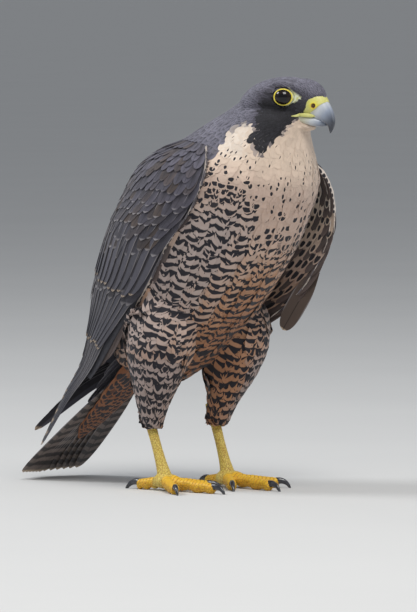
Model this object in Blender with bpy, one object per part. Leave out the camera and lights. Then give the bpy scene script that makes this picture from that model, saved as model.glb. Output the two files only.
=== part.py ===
"""A life-size adult peregrine falcon, standing still with its head turned to its left.

The bird faces -Y, its left side is +X and up is +Z, in metres. It stands on the floor, z = 0,
on its toe pads and the tip of its tail. Head, neck, torso, wings, tail, thighs, shanks, toes,
claws, eyes and the pieces of the bill are separate closed solids with a thin gap between them.
"""

import math
import random

import bmesh
import bpy
from mathutils import Matrix, Vector

MM = 0.001
GAP = 0.35 * MM
CUTTER_GROWTH = 0.45 * MM

# Side profile of the trunk and neck, tail end first: the front edge (y, z), the back edge (y, z)
# and half the width, in millimetres, all without the wings.
TRUNK_STATIONS = [
    (62, 84, 97, 112, 20),
    (38, 82, 93, 132, 32),
    (8, 98, 86, 155, 44),
    (-22, 122, 78, 182, 53),
    (-52, 153, 68, 210, 59),
    (-80, 190, 56, 237, 62),
    (-98, 224, 40, 259, 62),
    (-107, 246, 22, 276, 58),
    (-107, 264, 0, 288, 45),
    (-105, 279, -22, 299, 34),
    (-106, 292, -39, 308, 27),
    (-105, 302, -50, 316, 18),
]
TRUNK_SIDES = 26
NECK_LOW = (Vector((0, -30, 268)), Vector((0, -0.35, 0.94)))
NECK_HIGH = (Vector((0, -62, 297)), Vector((0, -0.18, 0.98)))

# The head hangs on the point midway between the eyes and is turned and nodded about it.
EYE_MIDDLE = Vector((4, -93.6, 315.8))
HEAD_TURN = math.radians(14)
HEAD_NOD = math.radians(13)
# Head stations: forward place, centre height, half width, height above and below the centre.
HEAD_STATIONS = [
    (-43, -16, 8, 7, 8),
    (-36, -13, 17, 13, 14),
    (-25, -8, 21.5, 16.5, 18),
    (-13, -3, 22.5, 16.5, 19),
    (-4, -1, 20.8, 16.4, 18.7),
    (4, -0.5, 17.0, 16.2, 18.2),
    (11, -0.7, 12.8, 14.8, 17.0),
    (16.5, 0.5, 9.2, 11.6, 13.5),
    (21, 3.4, 6.4, 7.2, 8.0),
    (24.6, 6.0, 3.6, 3.2, 4.0),
]
HEAD_SIDES = 22
EYE_RADIUS = 8.7
EYE_PLACE = (-1.5, 14.0, 0)
EYE_SQUINT = math.radians(65)
LID_RING = 7.6
LID_THICK = 1.2
BROW_PLACE = (1, 13.4, 8.4)
BROW_RADII = (14, 5.0, 4.6)
BROW_TURN = math.radians(24)
CHIN_PLACE = (12.5, 0, -19.6)
CHIN_RADII = (13, 9, 4.6)

# Bill stations in the head's own forward and up directions: culmen, cutting edge, half width.
BILL_STATIONS = [
    (12, 8.6, 9, -12.0, 8.4),
    (19, 9.4, 15.5, -12.3, 8.8),
    (25.2, 8.2, 21, -12.6, 8.0),
    (30.5, 3.0, 26, -13.0, 6.8),
    (36.1, -2.9, 31, -13.6, 5.6),
    (39.4, -9.0, 34, -14.6, 4.3),
    (40.3, -13.5, 36, -15.9, 3.0),
    (40.0, -17.2, 37.2, -18.3, 1.5),
    (39.0, -20.0, 38.4, -20.5, 0.5),
]
CERE_FRONT = (29.5, 2)
CERE_WAY = (0, -0.76, -0.66)
LOWER_BILL_STATIONS = [
    (10, -10.0, 10, -18.6, 9.0),
    (18, -10.0, 18, -18.6, 7.8),
    (26, -10.6, 25, -18.0, 6.2),
    (31, -11.6, 30, -16.9, 4.2),
    (34, -14.4, 33.6, -15.8, 1.4),
]
MOUTH_PLACE = (13, 12.2, -13.4)
MOUTH_RADII = (9.5, 2.6, 0.7)
MOUTH_DROOP = math.radians(18)
MOUTH_TURN = math.radians(24)
NOSTRIL = (21.7, 8.6, -2.2)
NOSTRIL_RADIUS = 1.5

# Folded wings: at each station the leading edge and the trailing edge (outwards, y, z) and how far
# the surface between them bulges out. The left one is held a little open at the chest, and its
# tip crosses over the right one.
WING_STATIONS = {
    "right": [
        ((46, -46, 278), (25, 8, 287), 7),
        ((59, -60, 258), (33, 36, 263), 17),
        ((63, -50, 228), (36, 58, 232), 19),
        ((64, -24, 198), (35, 76, 202), 16),
        ((58, 8, 160), (31, 95, 163), 10),
        ((48, 50, 124), (20, 111, 130), 6),
        ((35, 90, 92), (13, 127, 99), 3),
        ((24, 129, 65), (13, 150, 68), 1.5),
        ((12, 174, 26), (9, 179, 27), 0),
    ],
    "left": [
        ((47, -50, 278), (25, 8, 287), 7),
        ((62, -78, 252), (33, 36, 263), 19),
        ((72, -84, 218), (36, 58, 232), 22),
        ((73, -72, 184), (35, 76, 202), 20),
        ((68, -36, 146), (31, 95, 163), 14),
        ((54, 26, 112), (18, 112, 132), 8),
        ((36, 84, 92), (6, 130, 106), 4),
        ((17, 131, 74), (-3, 154, 79), 1.5),
        ((-13, 178, 38), (-17, 184, 39), 0),
    ],
}
WING_DEPTH = 10
SLAB_END = 0.78
SLAB_END_DEPTH = 1.4

# Feather tiers of a folded wing, in shares of its length and of its width from the leading edge:
# how many, where the first and last root lie, where their tips end, the width in millimetres, how
# far root and tip stand off the wing, and which outline each vane follows.
WING_TIERS = {
    "primaries": (6, (0.46, 0.16), (0.42, 0.80), (0.995, 0.45), (0.72, 0.93), 17, -0.9, 1.5, "long"),
    "secondaries": (6, (0.40, 0.10), (0.22, 0.90), (0.67, 0.24), (0.68, 0.92), 18, -1.2, 2.0, "long"),
    "greater_coverts": (5, (0.28, 0.07), (0.16, 0.90), (0.50, 0.11), (0.44, 0.92), 19, -1.2, 2.8, "short"),
    "median_coverts": (5, (0.15, 0.09), (0.06, 0.89), (0.34, 0.09), (0.27, 0.90), 19, -1.2, 3.0, "short"),
}
VANE_DEPTH = 0.7
VANE_TILT = math.radians(9)
TIER_SCATTER = 0.012
WING_INSET = 1.0
WING_SPARE = 1.7
# Where a vane is bent along its length, and its width there as a share of the widest.
VANE_OUTLINES = {
    "short": [(0, 0.55), (0.4, 1.0), (0.82, 0.88), (1, 0.38)],
    "long": [(0, 0.6), (0.25, 0.9), (0.55, 1.0), (0.88, 0.82), (1, 0.32)],
}

# The loose brown feather under the open wing: its two ends and its width.
LOOSE_ROOT = Vector((70.5, -56, 175))
LOOSE_TIP = Vector((59, -30, 127))
LOOSE_WIDTH = 16

# The tail leaves the trunk's end face and comes down to the floor at its tip. Its feathers are
# in pairs: the middle pair lies on top and the outer ones are stepped under it.
TAIL_ROOT = Vector((0, 80, 98))
TAIL_TIP = Vector((0, 187, 5.5))
TAIL_ROOT_WIDTH = 19
TAIL_BASE_END = 0.42
TAIL_BASE_DEPTH = 7
TAIL_PAIRS = 6
TAIL_ROOT_SPACING = 2.2
TAIL_TIP_SPACING = 5.6
TAIL_FEATHER_WIDTH = 17
TAIL_STEP_DOWN = 1.05
TAIL_STEP_SHORT = 0.012
TAIL_TILT = math.radians(2)
TAIL_UNEVEN = 0.22
# Coverts over and under the tail: how many, how far they reach, and their height at each end.
TAIL_COVERTS = {"over": (5, 0.46, 2.5, 2.2), "under": (5, 0.62, -5.0, -8.4)}
TAIL_COVERT_WIDTH = 15
TAIL_COVERT_SPREAD = (11, 21)

# Legs, with outwards first: the feathered thigh's stations and the bare shank's two ends.
THIGH_STATIONS = [
    (30, 14, 172, 10),
    (34, 10, 160, 24),
    (37, 8, 138, 32),
    (38, 8, 114, 31),
    (37, 12, 90, 24),
    (34, 19, 68, 15.5),
    (31, 22, 48, 9),
]
THIGH_SLIMNESS = 0.8
FOOT_STEP = {"right": 6, "left": -6}
ANKLE = (31, 28, 62)
FOOT_JOINT = (30, 10, 12)
SHANK_WIDTH = 9.5
# How far down the shank, and its width there as a share of the usual one.
SHANK_SWELL = [(-0.06, 0.8), (0, 1.0), (0.15, 0.95), (0.5, 0.85), (0.85, 0.95), (1, 1.2), (1.1, 1.0)]
FOOT_HUB_RADII = (9, 9.5, 6.5)
FOOT_HUB_DROP = 4
FOOT_HUB_FLOOR = 1.2
# Toes: heading away from straight ahead towards the outside, length, and length of the claw.
TOES = {
    "middle": (-4, 52, 18),
    "inner": (-40, 36, 19),
    "outer": (34, 42, 16),
    "hind": (172, 26, 21),
}
# Along a toe: the share of its length, the height of its middle and its radius.
TOE_PADS = [
    (0.0, 8, 4.6),
    (0.18, 8.5, 4.6),
    (0.34, 6.2, 4.4),
    (0.5, 6.4, 3.9),
    (0.66, 5.0, 4.3),
    (0.82, 5.2, 3.7),
    (0.94, 4.2, 4.0),
    (1.0, 4.4, 2.6),
]
CLAW_RADIUS = 3.0
CLAW_RISE = 18
CLAW_CURL = 100
CLAW_STEPS = 5

SIDES = {"right": -1, "left": 1}
COLOURS = {
    "slate_plumage": ((0.11, 0.12, 0.16), 0.7),
    "barred_plumage": ((0.62, 0.52, 0.44), 0.8),
    "dark_hood": ((0.05, 0.055, 0.075), 0.7),
    "yellow_skin": ((0.85, 0.56, 0.08), 0.5),
    "bill_horn": ((0.25, 0.29, 0.36), 0.3),
    "claw_horn": ((0.05, 0.055, 0.07), 0.3),
    "eye_dark": ((0.02, 0.013, 0.01), 0.05),
}


def clear_scene():
    """Removes whatever the opened file holds."""
    for thing in list(bpy.data.objects):
        bpy.data.objects.remove(thing, do_unlink=True)


def make_materials():
    """One Principled material for each of the bird's finishes."""
    made = {}
    for name, (colour, roughness) in COLOURS.items():
        finish = bpy.data.materials.new(name)
        finish.use_nodes = True
        shader = finish.node_tree.nodes["Principled BSDF"]
        shader.inputs["Base Color"].default_value = (*colour, 1)
        shader.inputs["Roughness"].default_value = roughness
        shader.inputs["Metallic"].default_value = 0.0
        made[name] = finish
    return made


def smooth_path(stations, spans):
    """Rows of numbers read from a smooth curve through the stations, spans rows to each gap."""
    rows = []
    last = len(stations) - 1
    for index in range(last):
        before = stations[max(index - 1, 0)]
        start = stations[index]
        end = stations[index + 1]
        after = stations[min(index + 2, last)]
        for step in range(spans):
            rows.append(catmull(before, start, end, after, step / spans))
    rows.append(tuple(float(number) for number in stations[last]))
    return rows


def catmull(before, start, end, after, share):
    """One row on the curve between start and end."""
    row = []
    for a, b, c, d in zip(before, start, end, after):
        linear = (c - a) * share
        square = (2 * a - 5 * b + 4 * c - d) * share**2
        cube = (3 * b - a - 3 * c + d) * share**3
        row.append(b + 0.5 * (linear + square + cube))
    return tuple(row)


def ellipse_ring(centre, side, up, low, count, squareness=2.0):
    """A closed ring round centre, where side, up and low are the vectors to its four extremes."""
    points = []
    for index in range(count):
        angle = 2 * math.pi * index / count
        across = math.copysign(abs(math.cos(angle)) ** (2 / squareness), math.cos(angle))
        rise = math.copysign(abs(math.sin(angle)) ** (2 / squareness), math.sin(angle))
        points.append(centre + side * across + (up * rise if rise > 0 else low * -rise))
    return points


def loft(name, rings, finish):
    """A closed solid through the rings, with a flat face at each end."""
    mesh = bpy.data.meshes.new(name)
    body = bmesh.new()
    rows = [[body.verts.new(point * MM) for point in ring] for ring in rings]
    count = len(rows[0])
    for lower, upper in zip(rows, rows[1:]):
        for index in range(count):
            after = (index + 1) % count
            body.faces.new((lower[index], lower[after], upper[after], upper[index]))
    body.faces.new(reversed(rows[0]))
    body.faces.new(rows[-1])
    bmesh.ops.recalc_face_normals(body, faces=body.faces)
    body.to_mesh(mesh)
    body.free()
    return add_object(name, mesh, finish)


def add_object(name, mesh, finish):
    """Links a mesh into the scene as a named object with its finish."""
    thing = bpy.data.objects.new(name, mesh)
    if finish is not None:
        mesh.materials.append(finish)
    bpy.context.collection.objects.link(thing)
    return thing


def ellipsoid(name, radii, finish, segments=16, rings=10):
    """A closed ellipsoid round the origin, in millimetres."""
    mesh = bpy.data.meshes.new(name)
    body = bmesh.new()
    size = Matrix.Diagonal((*[radius * MM for radius in radii], 1))
    bmesh.ops.create_uvsphere(body, u_segments=segments, v_segments=rings, radius=1, matrix=size)
    body.to_mesh(mesh)
    body.free()
    return add_object(name, mesh, finish)


def boolean(target, other, operation):
    """Joins other to target or cuts it away, applies the result and drops other."""
    change = target.modifiers.new(operation, "BOOLEAN")
    change.operation = operation
    change.object = other
    change.solver = "MANIFOLD"
    apply_modifiers(target)
    bpy.data.objects.remove(other, do_unlink=True)


def apply_modifiers(thing):
    """Replaces the object's mesh with what its modifiers make of it."""
    graph = bpy.context.evaluated_depsgraph_get()
    evaluated = thing.evaluated_get(graph)
    mesh = bpy.data.meshes.new_from_object(evaluated)
    thing.modifiers.clear()
    thing.data = mesh


def copy_of(thing, name):
    """A second object with its own mesh."""
    again = thing.copy()
    again.data = thing.data.copy()
    again.name = name
    bpy.context.collection.objects.link(again)
    return again


def grown(thing):
    """A copy of thing whose surface is moved outwards, for cutting its neighbours clear."""
    cutter = copy_of(thing, thing.name + "_cutter")
    body = bmesh.new()
    body.from_mesh(cutter.data)
    bmesh.ops.recalc_face_normals(body, faces=body.faces)
    body.normal_update()
    moved = [vert.co + vert.normal * CUTTER_GROWTH for vert in body.verts]
    for vert, place in zip(body.verts, moved):
        vert.co = place
    body.to_mesh(cutter.data)
    body.free()
    return cutter


def cut_clear(thing, *neighbours):
    """Cuts thing back so that it clears each neighbour by the usual gap."""
    for neighbour in neighbours:
        boolean(thing, grown(neighbour), "DIFFERENCE")
    keep_largest(thing)


def keep_side(thing, point, normal):
    """Keeps what lies on the side of the plane that normal points away from."""
    body = bmesh.new()
    body.from_mesh(thing.data)
    geometry = body.verts[:] + body.edges[:] + body.faces[:]
    cut = bmesh.ops.bisect_plane(
        body, geom=geometry, dist=1e-7, plane_co=point, plane_no=normal, clear_outer=True
    )
    rim = [part for part in cut["geom_cut"] if isinstance(part, bmesh.types.BMEdge)]
    bmesh.ops.edgenet_fill(body, edges=rim)
    bmesh.ops.recalc_face_normals(body, faces=body.faces)
    body.to_mesh(thing.data)
    body.free()


def keep_largest(thing):
    """Drops loose scraps, keeping the closed surface with the most volume."""
    body = bmesh.new()
    body.from_mesh(thing.data)
    body.verts.ensure_lookup_table()
    groups = []
    seen = set()
    for vert in body.verts:
        if vert in seen:
            continue
        group = {vert}
        fresh = [vert]
        while fresh:
            near = fresh.pop()
            for edge in near.link_edges:
                other = edge.other_vert(near)
                if other not in group:
                    group.add(other)
                    fresh.append(other)
        seen |= group
        groups.append(group)
    if len(groups) > 1:
        largest = max(groups, key=group_volume)
        spare = [vert for group in groups if group is not largest for vert in group]
        bmesh.ops.delete(body, geom=spare, context="VERTS")
        body.to_mesh(thing.data)
    body.free()


def group_volume(group):
    """Six times the volume inside a closed group of vertices."""
    faces = {face for vert in group for face in vert.link_faces}
    total = 0.0
    for face in faces:
        first = face.verts[0].co
        for second, third in zip(face.verts[1:], face.verts[2:]):
            total += first.dot(second.co.cross(third.co))
    return total


def head_place(forward, side, up):
    """A point of the head, given forwards, to the bird's left and up from between the eyes."""
    return EYE_MIDDLE + head_turn() @ Vector((side, -forward, up))


def head_turn():
    """The head's rotation: a nod about the side-to-side axis, then the turn to the left."""
    return Matrix.Rotation(HEAD_TURN, 3, "Z") @ Matrix.Rotation(HEAD_NOD, 3, "X")


def trunk_and_neck(finish):
    """The body from the tail's root to inside the head, still in one piece."""
    rings = []
    for front_y, front_z, back_y, back_z, width in smooth_path(TRUNK_STATIONS, 2):
        front = Vector((0, front_y, front_z))
        back = Vector((0, back_y, back_z))
        half = (back - front) / 2
        ring = ellipse_ring((front + back) / 2, Vector((width, 0, 0)), half, -half, TRUNK_SIDES, 2.15)
        rings.append(ring)
    return loft("torso", rings, finish)


def skull(finish):
    """The head without its bill, in one piece with no sockets yet."""
    rings = []
    for forward, centre, width, above, below in smooth_path(HEAD_STATIONS, 2):
        middle = head_place(forward, 0, centre)
        side = head_place(forward, width, centre) - middle
        up = head_place(forward, 0, centre + above) - middle
        low = head_place(forward, 0, centre - below) - middle
        rings.append(ellipse_ring(middle, side, up, low, HEAD_SIDES, 2.15))
    return loft("head", rings, finish)


def in_head(thing, place, turn=0.0):
    """Moves a shape made round the origin to its place on the head and applies the move."""
    spot = head_place(*place) * MM
    frame = head_turn() @ Matrix.Rotation(turn, 3, "Z")
    thing.data.transform(Matrix.Translation(spot) @ frame.to_4x4())
    return thing


def lid_ring(side):
    """The bare ring of skin round one eye."""
    mesh = bpy.data.meshes.new("lid")
    body = bmesh.new()
    around = 16
    corners = 5
    rows = []
    for index in range(around):
        angle = 2 * math.pi * index / around
        radial = Vector((math.cos(angle), 0, math.sin(angle)))
        row = []
        for corner in range(corners):
            turn = 2 * math.pi * corner / corners
            offset = radial * math.cos(turn) + Vector((0, 1, 0)) * math.sin(turn)
            row.append(body.verts.new((radial * LID_RING + offset * LID_THICK) * MM))
        rows.append(row)
    for index in range(around):
        first = rows[index]
        second = rows[(index + 1) % around]
        for corner in range(corners):
            after = (corner + 1) % corners
            body.faces.new((first[corner], first[after], second[after], second[corner]))
    bmesh.ops.recalc_face_normals(body, faces=body.faces)
    body.to_mesh(mesh)
    body.free()
    ring = add_object("lid", mesh, None)
    return in_head(ring, *eye_front(side))


def eye_front(side):
    """The place of the lids' ring and how far its axis turns from straight ahead."""
    outwards = math.sqrt(EYE_RADIUS**2 - LID_RING**2) + 0.6
    forward = EYE_PLACE[0] + outwards * math.cos(EYE_SQUINT)
    across = EYE_PLACE[1] + outwards * math.sin(EYE_SQUINT)
    return (forward, side * across, EYE_PLACE[2]), side * EYE_SQUINT


def eyeball(name, side, finish):
    """One eye, a ball set deep in the head."""
    ball = ellipsoid(name, (EYE_RADIUS,) * 3, finish, 14, 10)
    return in_head(ball, (EYE_PLACE[0], side * EYE_PLACE[1], EYE_PLACE[2]))


def bill_loft(name, stations, finish):
    """A piece of the bill through its culmen and cutting-edge stations."""
    rings = []
    for top_f, top_u, low_f, low_u, width in smooth_path(stations, 2):
        top = head_place(top_f, 0, top_u)
        bottom = head_place(low_f, 0, low_u)
        middle = (top + bottom) / 2
        side = head_place(0, width, 0) - head_place(0, 0, 0)
        rings.append(ellipse_ring(middle, side, top - middle, bottom - middle, 14, 2.3))
    return loft(name, rings, finish)


def build_head(torso, made):
    """The head with lids and brows, the eyes, the cere and both halves of the bill."""
    head = skull(made["dark_hood"])
    boolean(head, copy_of(torso, "throat"), "UNION")
    chin = ellipsoid("chin", (CHIN_RADII[1], CHIN_RADII[0], CHIN_RADII[2]), None, 14, 8)
    boolean(head, in_head(chin, CHIN_PLACE), "UNION")
    upper = bill_loft("bill_upper", BILL_STATIONS, made["bill_horn"])
    lower = bill_loft("bill_lower", LOWER_BILL_STATIONS, made["bill_horn"])
    boolean(lower, grown(upper), "DIFFERENCE")
    for side in SIDES.values():
        brow = in_head(
            ellipsoid("brow", (BROW_RADII[1], BROW_RADII[0], BROW_RADII[2]), None, 12, 8),
            (BROW_PLACE[0], side * BROW_PLACE[1], BROW_PLACE[2]),
            -side * BROW_TURN,
        )
        boolean(head, brow, "UNION")
        boolean(head, lid_ring(side), "UNION")
    for label, side in SIDES.items():
        ball = eyeball("eye_" + label, side, made["eye_dark"])
        boolean(head, grown(ball), "DIFFERENCE")
    nose = head_place(CERE_FRONT[0], 0, CERE_FRONT[1]) * MM
    nose_way = head_turn() @ Vector(CERE_WAY)
    cere = copy_of(upper, "cere")
    cere.data.materials.clear()
    cere.data.materials.append(made["yellow_skin"])
    keep_side(cere, nose - nose_way * GAP, nose_way)
    keep_side(upper, nose, -nose_way)
    for side in SIDES.values():
        nostril = ellipsoid("nostril", (NOSTRIL_RADIUS * 1.6, NOSTRIL_RADIUS, NOSTRIL_RADIUS), None, 10, 8)
        in_head(nostril, (NOSTRIL[0], side * NOSTRIL[1], NOSTRIL[2]))
        boolean(cere, nostril, "DIFFERENCE")
        mouth = ellipsoid("mouth", (MOUTH_RADII[1], MOUTH_RADII[0], MOUTH_RADII[2]), None, 12, 6)
        mouth.data.transform(Matrix.Rotation(MOUTH_DROOP, 4, "X"))
        in_head(mouth, (MOUTH_PLACE[0], side * MOUTH_PLACE[1], MOUTH_PLACE[2]), -side * MOUTH_TURN)
        boolean(head, mouth, "DIFFERENCE")
    keep_largest(head)
    cut_clear(cere, head)
    cut_clear(upper, head)
    cut_clear(lower, head)
    return head


def wing_point(label, share, across):
    """A point of one wing's outer face, in shares of its length and of its width."""
    flat = [(*lead, *trail, bulge) for lead, trail, bulge in WING_STATIONS[label]]
    gaps = len(flat) - 1
    start = min(int(share * gaps), gaps - 1)
    before = flat[max(start - 1, 0)]
    after = flat[min(start + 2, gaps)]
    row = catmull(before, flat[start], flat[start + 1], after, share * gaps - start)
    side = SIDES[label]
    lead = Vector((side * row[0], row[1], row[2]))
    trail = Vector((side * row[3], row[4], row[5]))
    chord = trail - lead
    outward = chord.cross(Vector((0, 0.5, -0.86))).normalized()
    if outward.x * side < 0:
        outward = -outward
    return lead + chord * across + outward * row[6] * 4 * across * (1 - across)


def wing_frame(label, share, across):
    """The wing's point there, with its directions towards the trailing edge and outwards."""
    step = 0.01
    spot = wing_point(label, share, across)
    sideways = wing_point(label, share, across + step) - wing_point(label, share, across - step)
    back = wing_point(label, max(share - step, 0), across)
    along = wing_point(label, min(share + step, 1), across) - back
    outward = along.cross(sideways).normalized()
    if outward.x * SIDES[label] < 0:
        outward = -outward
    return spot, sideways.normalized(), outward


def plain_wing(name, label, finish, spare=0.0):
    """The wing's own body under its feathers, one smooth slab, with spare room round it if asked."""
    rings = []
    rows = 13
    columns = 7
    for row in range(rows):
        share = SLAB_END * row / (rows - 1)
        depth = WING_DEPTH + (SLAB_END_DEPTH - WING_DEPTH) * (row / (rows - 1)) ** 1.5
        outer = []
        inner = []
        for column in range(columns):
            spot, sideways, outward = wing_frame(label, share, column / (columns - 1))
            spot = spot + sideways * spare * 3 * (2 * column / (columns - 1) - 1)
            thick = depth * (0.35 + 0.65 * math.sin(math.pi * column / (columns - 1)))
            thick *= min(1, 0.4 + 0.3 * row)
            sunk = WING_INSET * (1 - row / rows)
            outer.append(spot - outward * (sunk - spare))
            inner.append(spot - outward * (sunk + thick + spare))
        rings.append(outer + inner[::-1])
    return loft(name, rings, finish)


def blend(first, last, share):
    """A value that share of the way from first to last."""
    return first + (last - first) * share


def vane(name, places, width, outline, tilt=0.0):
    """A thin tapered feather along an outline, whose places are (spot, sideways, outwards)."""
    mesh = bpy.data.meshes.new(name)
    body = bmesh.new()
    tops = []
    lows = []
    for (spot, sideways, outward), (share, wide) in zip(places, VANE_OUTLINES[outline]):
        half = width / 2 * wide
        leaning = sideways * math.cos(tilt) - outward * math.sin(tilt)
        facing = outward * math.cos(tilt) + sideways * math.sin(tilt)
        depth = VANE_DEPTH * (1 if share < 1 else 0.7)
        top = [spot - leaning * half, spot + facing * 0.25, spot + leaning * half]
        tops.append([body.verts.new(point * MM) for point in top])
        lows.append([body.verts.new((point - facing * depth) * MM) for point in top])
    last = len(tops) - 1
    for row in range(last):
        for column in range(2):
            split_quad(body, tops, row, column, False)
            split_quad(body, lows, row, column, True)
        for column in (0, 2):
            side = (lows[row][column], tops[row][column], tops[row + 1][column], lows[row + 1][column])
            body.faces.new(side if column else side[::-1])
    for row in (0, last):
        rim = (*tops[row], *reversed(lows[row]))
        body.faces.new(rim if row else rim[::-1])
    bmesh.ops.recalc_face_normals(body, faces=body.faces)
    body.to_mesh(mesh)
    body.free()
    return add_object(name, mesh, None)


def along_outline(outline, place):
    """What place gives at each bend of a vane's outline."""
    return [place(share) for share, _ in VANE_OUTLINES[outline]]


def split_quad(body, rows, row, column, flipped):
    """Two triangles for one cell of a vane's face, cut alike above and below."""
    first = rows[row][column]
    second = rows[row][column + 1]
    third = rows[row + 1][column + 1]
    fourth = rows[row + 1][column]
    for corners in ((first, second, third), (first, third, fourth)):
        body.faces.new(corners[::-1] if flipped else corners)


def join_all(target, pieces):
    """Joins every piece to target with one union and keeps the one closed body."""
    group = bpy.data.collections.new(target.name + "_feathers")
    bpy.context.scene.collection.children.link(group)
    for piece in pieces:
        group.objects.link(piece)
        bpy.context.collection.objects.unlink(piece)
    change = target.modifiers.new("UNION", "BOOLEAN")
    change.operation = "UNION"
    change.operand_type = "COLLECTION"
    change.collection = group
    change.solver = "MANIFOLD"
    apply_modifiers(target)
    for piece in pieces:
        bpy.data.objects.remove(piece, do_unlink=True)
    bpy.data.collections.remove(group)
    keep_largest(target)


def wing_tiers(label):
    """Every vane of one folded wing, tier by tier."""
    draw = random.Random(label)
    vanes = []
    for tier, sizes in WING_TIERS.items():
        count, root_low, root_high, tip_low, tip_high, width, sunk, raised, outline = sizes
        for index in range(count):
            share = index / (count - 1)
            root = [blend(low, high, share) for low, high in zip(root_low, root_high)]
            tip = [blend(low, high, share) for low, high in zip(tip_low, tip_high)]
            tip[0] += draw.uniform(-TIER_SCATTER, TIER_SCATTER) * min(1, 6 * (1 - tip[0]))

            def place(way, root=root, tip=tip):
                along = blend(root[0], tip[0], way)
                spot, sideways, outward = wing_frame(label, along, blend(root[1], tip[1], way))
                return spot + outward * blend(sunk, raised, way), sideways, outward

            places = along_outline(outline, place)
            vanes.append(vane(f"{tier}_{index}", places, width, outline, VANE_TILT))
    return vanes


def loose_feather():
    """The plain brown feather that hangs below the open wing's edge."""
    run = LOOSE_TIP - LOOSE_ROOT
    outward = Vector((0.96, 0.24, 0.1)).normalized()
    sideways = outward.cross(run).normalized()
    places = along_outline("long", lambda share: (LOOSE_ROOT + run * share, sideways, outward))
    return vane("loose", places, LOOSE_WIDTH, "long")


def tail_frame(along, across, lift):
    """A point of the tail, along it from its root, across it and above its middle plane."""
    run = TAIL_TIP - TAIL_ROOT
    upward = Vector((1, 0, 0)).cross(run).normalized()
    if upward.z < 0:
        upward = -upward
    spot = TAIL_ROOT + run * along + Vector((across, 0, 0)) + upward * lift
    return spot, Vector((1, 0, 0)), upward


def build_tail(finish):
    """The tail's root with its six pairs of feathers and the coverts over and under them."""
    rings = []
    for step in range(5):
        share = step / 4
        centre, sideways, upward = tail_frame(TAIL_BASE_END * share, 0, -TAIL_STEP_DOWN * 2)
        width = TAIL_ROOT_WIDTH + share * 3
        depth = blend(TAIL_BASE_DEPTH, 2.5, share)
        rings.append(ellipse_ring(centre, sideways * width, upward * depth, -upward * depth, 14, 3))
    tail = loft("tail", rings, finish)
    vanes = []
    draw = random.Random("tail")
    for pair in range(TAIL_PAIRS):
        for side in SIDES.values():
            order = side * (pair + 0.5)
            lift = -TAIL_STEP_DOWN * pair + draw.uniform(-TAIL_UNEVEN, TAIL_UNEVEN)
            length = 1 - TAIL_STEP_SHORT * pair

            def place(way, order=order, lift=lift, length=length):
                spacing = blend(TAIL_ROOT_SPACING, TAIL_TIP_SPACING, way)
                return tail_frame(blend(0.12, length, way), order * spacing, lift)

            places = along_outline("long", place)
            vanes.append(vane("rectrix", places, TAIL_FEATHER_WIDTH, "long", side * TAIL_TILT))
    for count, reach, low, high in TAIL_COVERTS.values():
        for index in range(count):
            order = 2 * index / (count - 1) - 1
            uneven = draw.uniform(-TAIL_UNEVEN, TAIL_UNEVEN)

            def place(way, order=order, reach=reach, low=low + uneven, high=high + uneven):
                across = order * blend(*TAIL_COVERT_SPREAD, way)
                return tail_frame(blend(0.06, reach, way), across, blend(low, high, way))

            vanes.append(vane("covert", along_outline("short", place), TAIL_COVERT_WIDTH, "short"))
    join_all(tail, vanes)
    return tail


def build_leg(label, side, made):
    """Builds thigh, shank with its foot, toes and claws of one leg, and hands back the thigh."""
    step = FOOT_STEP[label]
    rings = []
    for out, back, height, radius in smooth_path(THIGH_STATIONS, 2):
        centre = Vector((side * out, back + step, height))
        across = Vector((radius * THIGH_SLIMNESS, 0, 0))
        back_edge = Vector((0, radius, 0))
        rings.append(ellipse_ring(centre, across, back_edge, -back_edge, 16))
    thigh = loft("thigh_" + label, rings, made["barred_plumage"])
    ankle = Vector((side * ANKLE[0], ANKLE[1] + step, ANKLE[2]))
    joint = Vector((side * FOOT_JOINT[0], FOOT_JOINT[1] + step, FOOT_JOINT[2]))
    down = (joint - ankle).normalized()
    front = Vector((1, 0, 0)).cross(down).normalized()
    rings = []
    for share, swell in SHANK_SWELL:
        half = SHANK_WIDTH / 2 * swell
        centre = ankle + (joint - ankle) * share
        rings.append(ellipse_ring(centre, Vector((half, 0, 0)), front * half, -front * half, 12))
    shank = loft("shank_" + label, rings, made["yellow_skin"])
    hub = ellipsoid("hub", FOOT_HUB_RADII, None, 12, 8)
    hub.data.transform(Matrix.Translation((joint - Vector((0, 0, FOOT_HUB_DROP))) * MM))
    boolean(shank, hub, "UNION")
    keep_side(shank, Vector((0, 0, FOOT_HUB_FLOOR * MM)), Vector((0, 0, -1)))
    cut_clear(thigh, shank)
    toes = []
    for name, (heading, length, claw) in TOES.items():
        toes += build_toe(name, label, side, joint, heading, length, claw, [shank, *toes], made)
    return thigh


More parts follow.
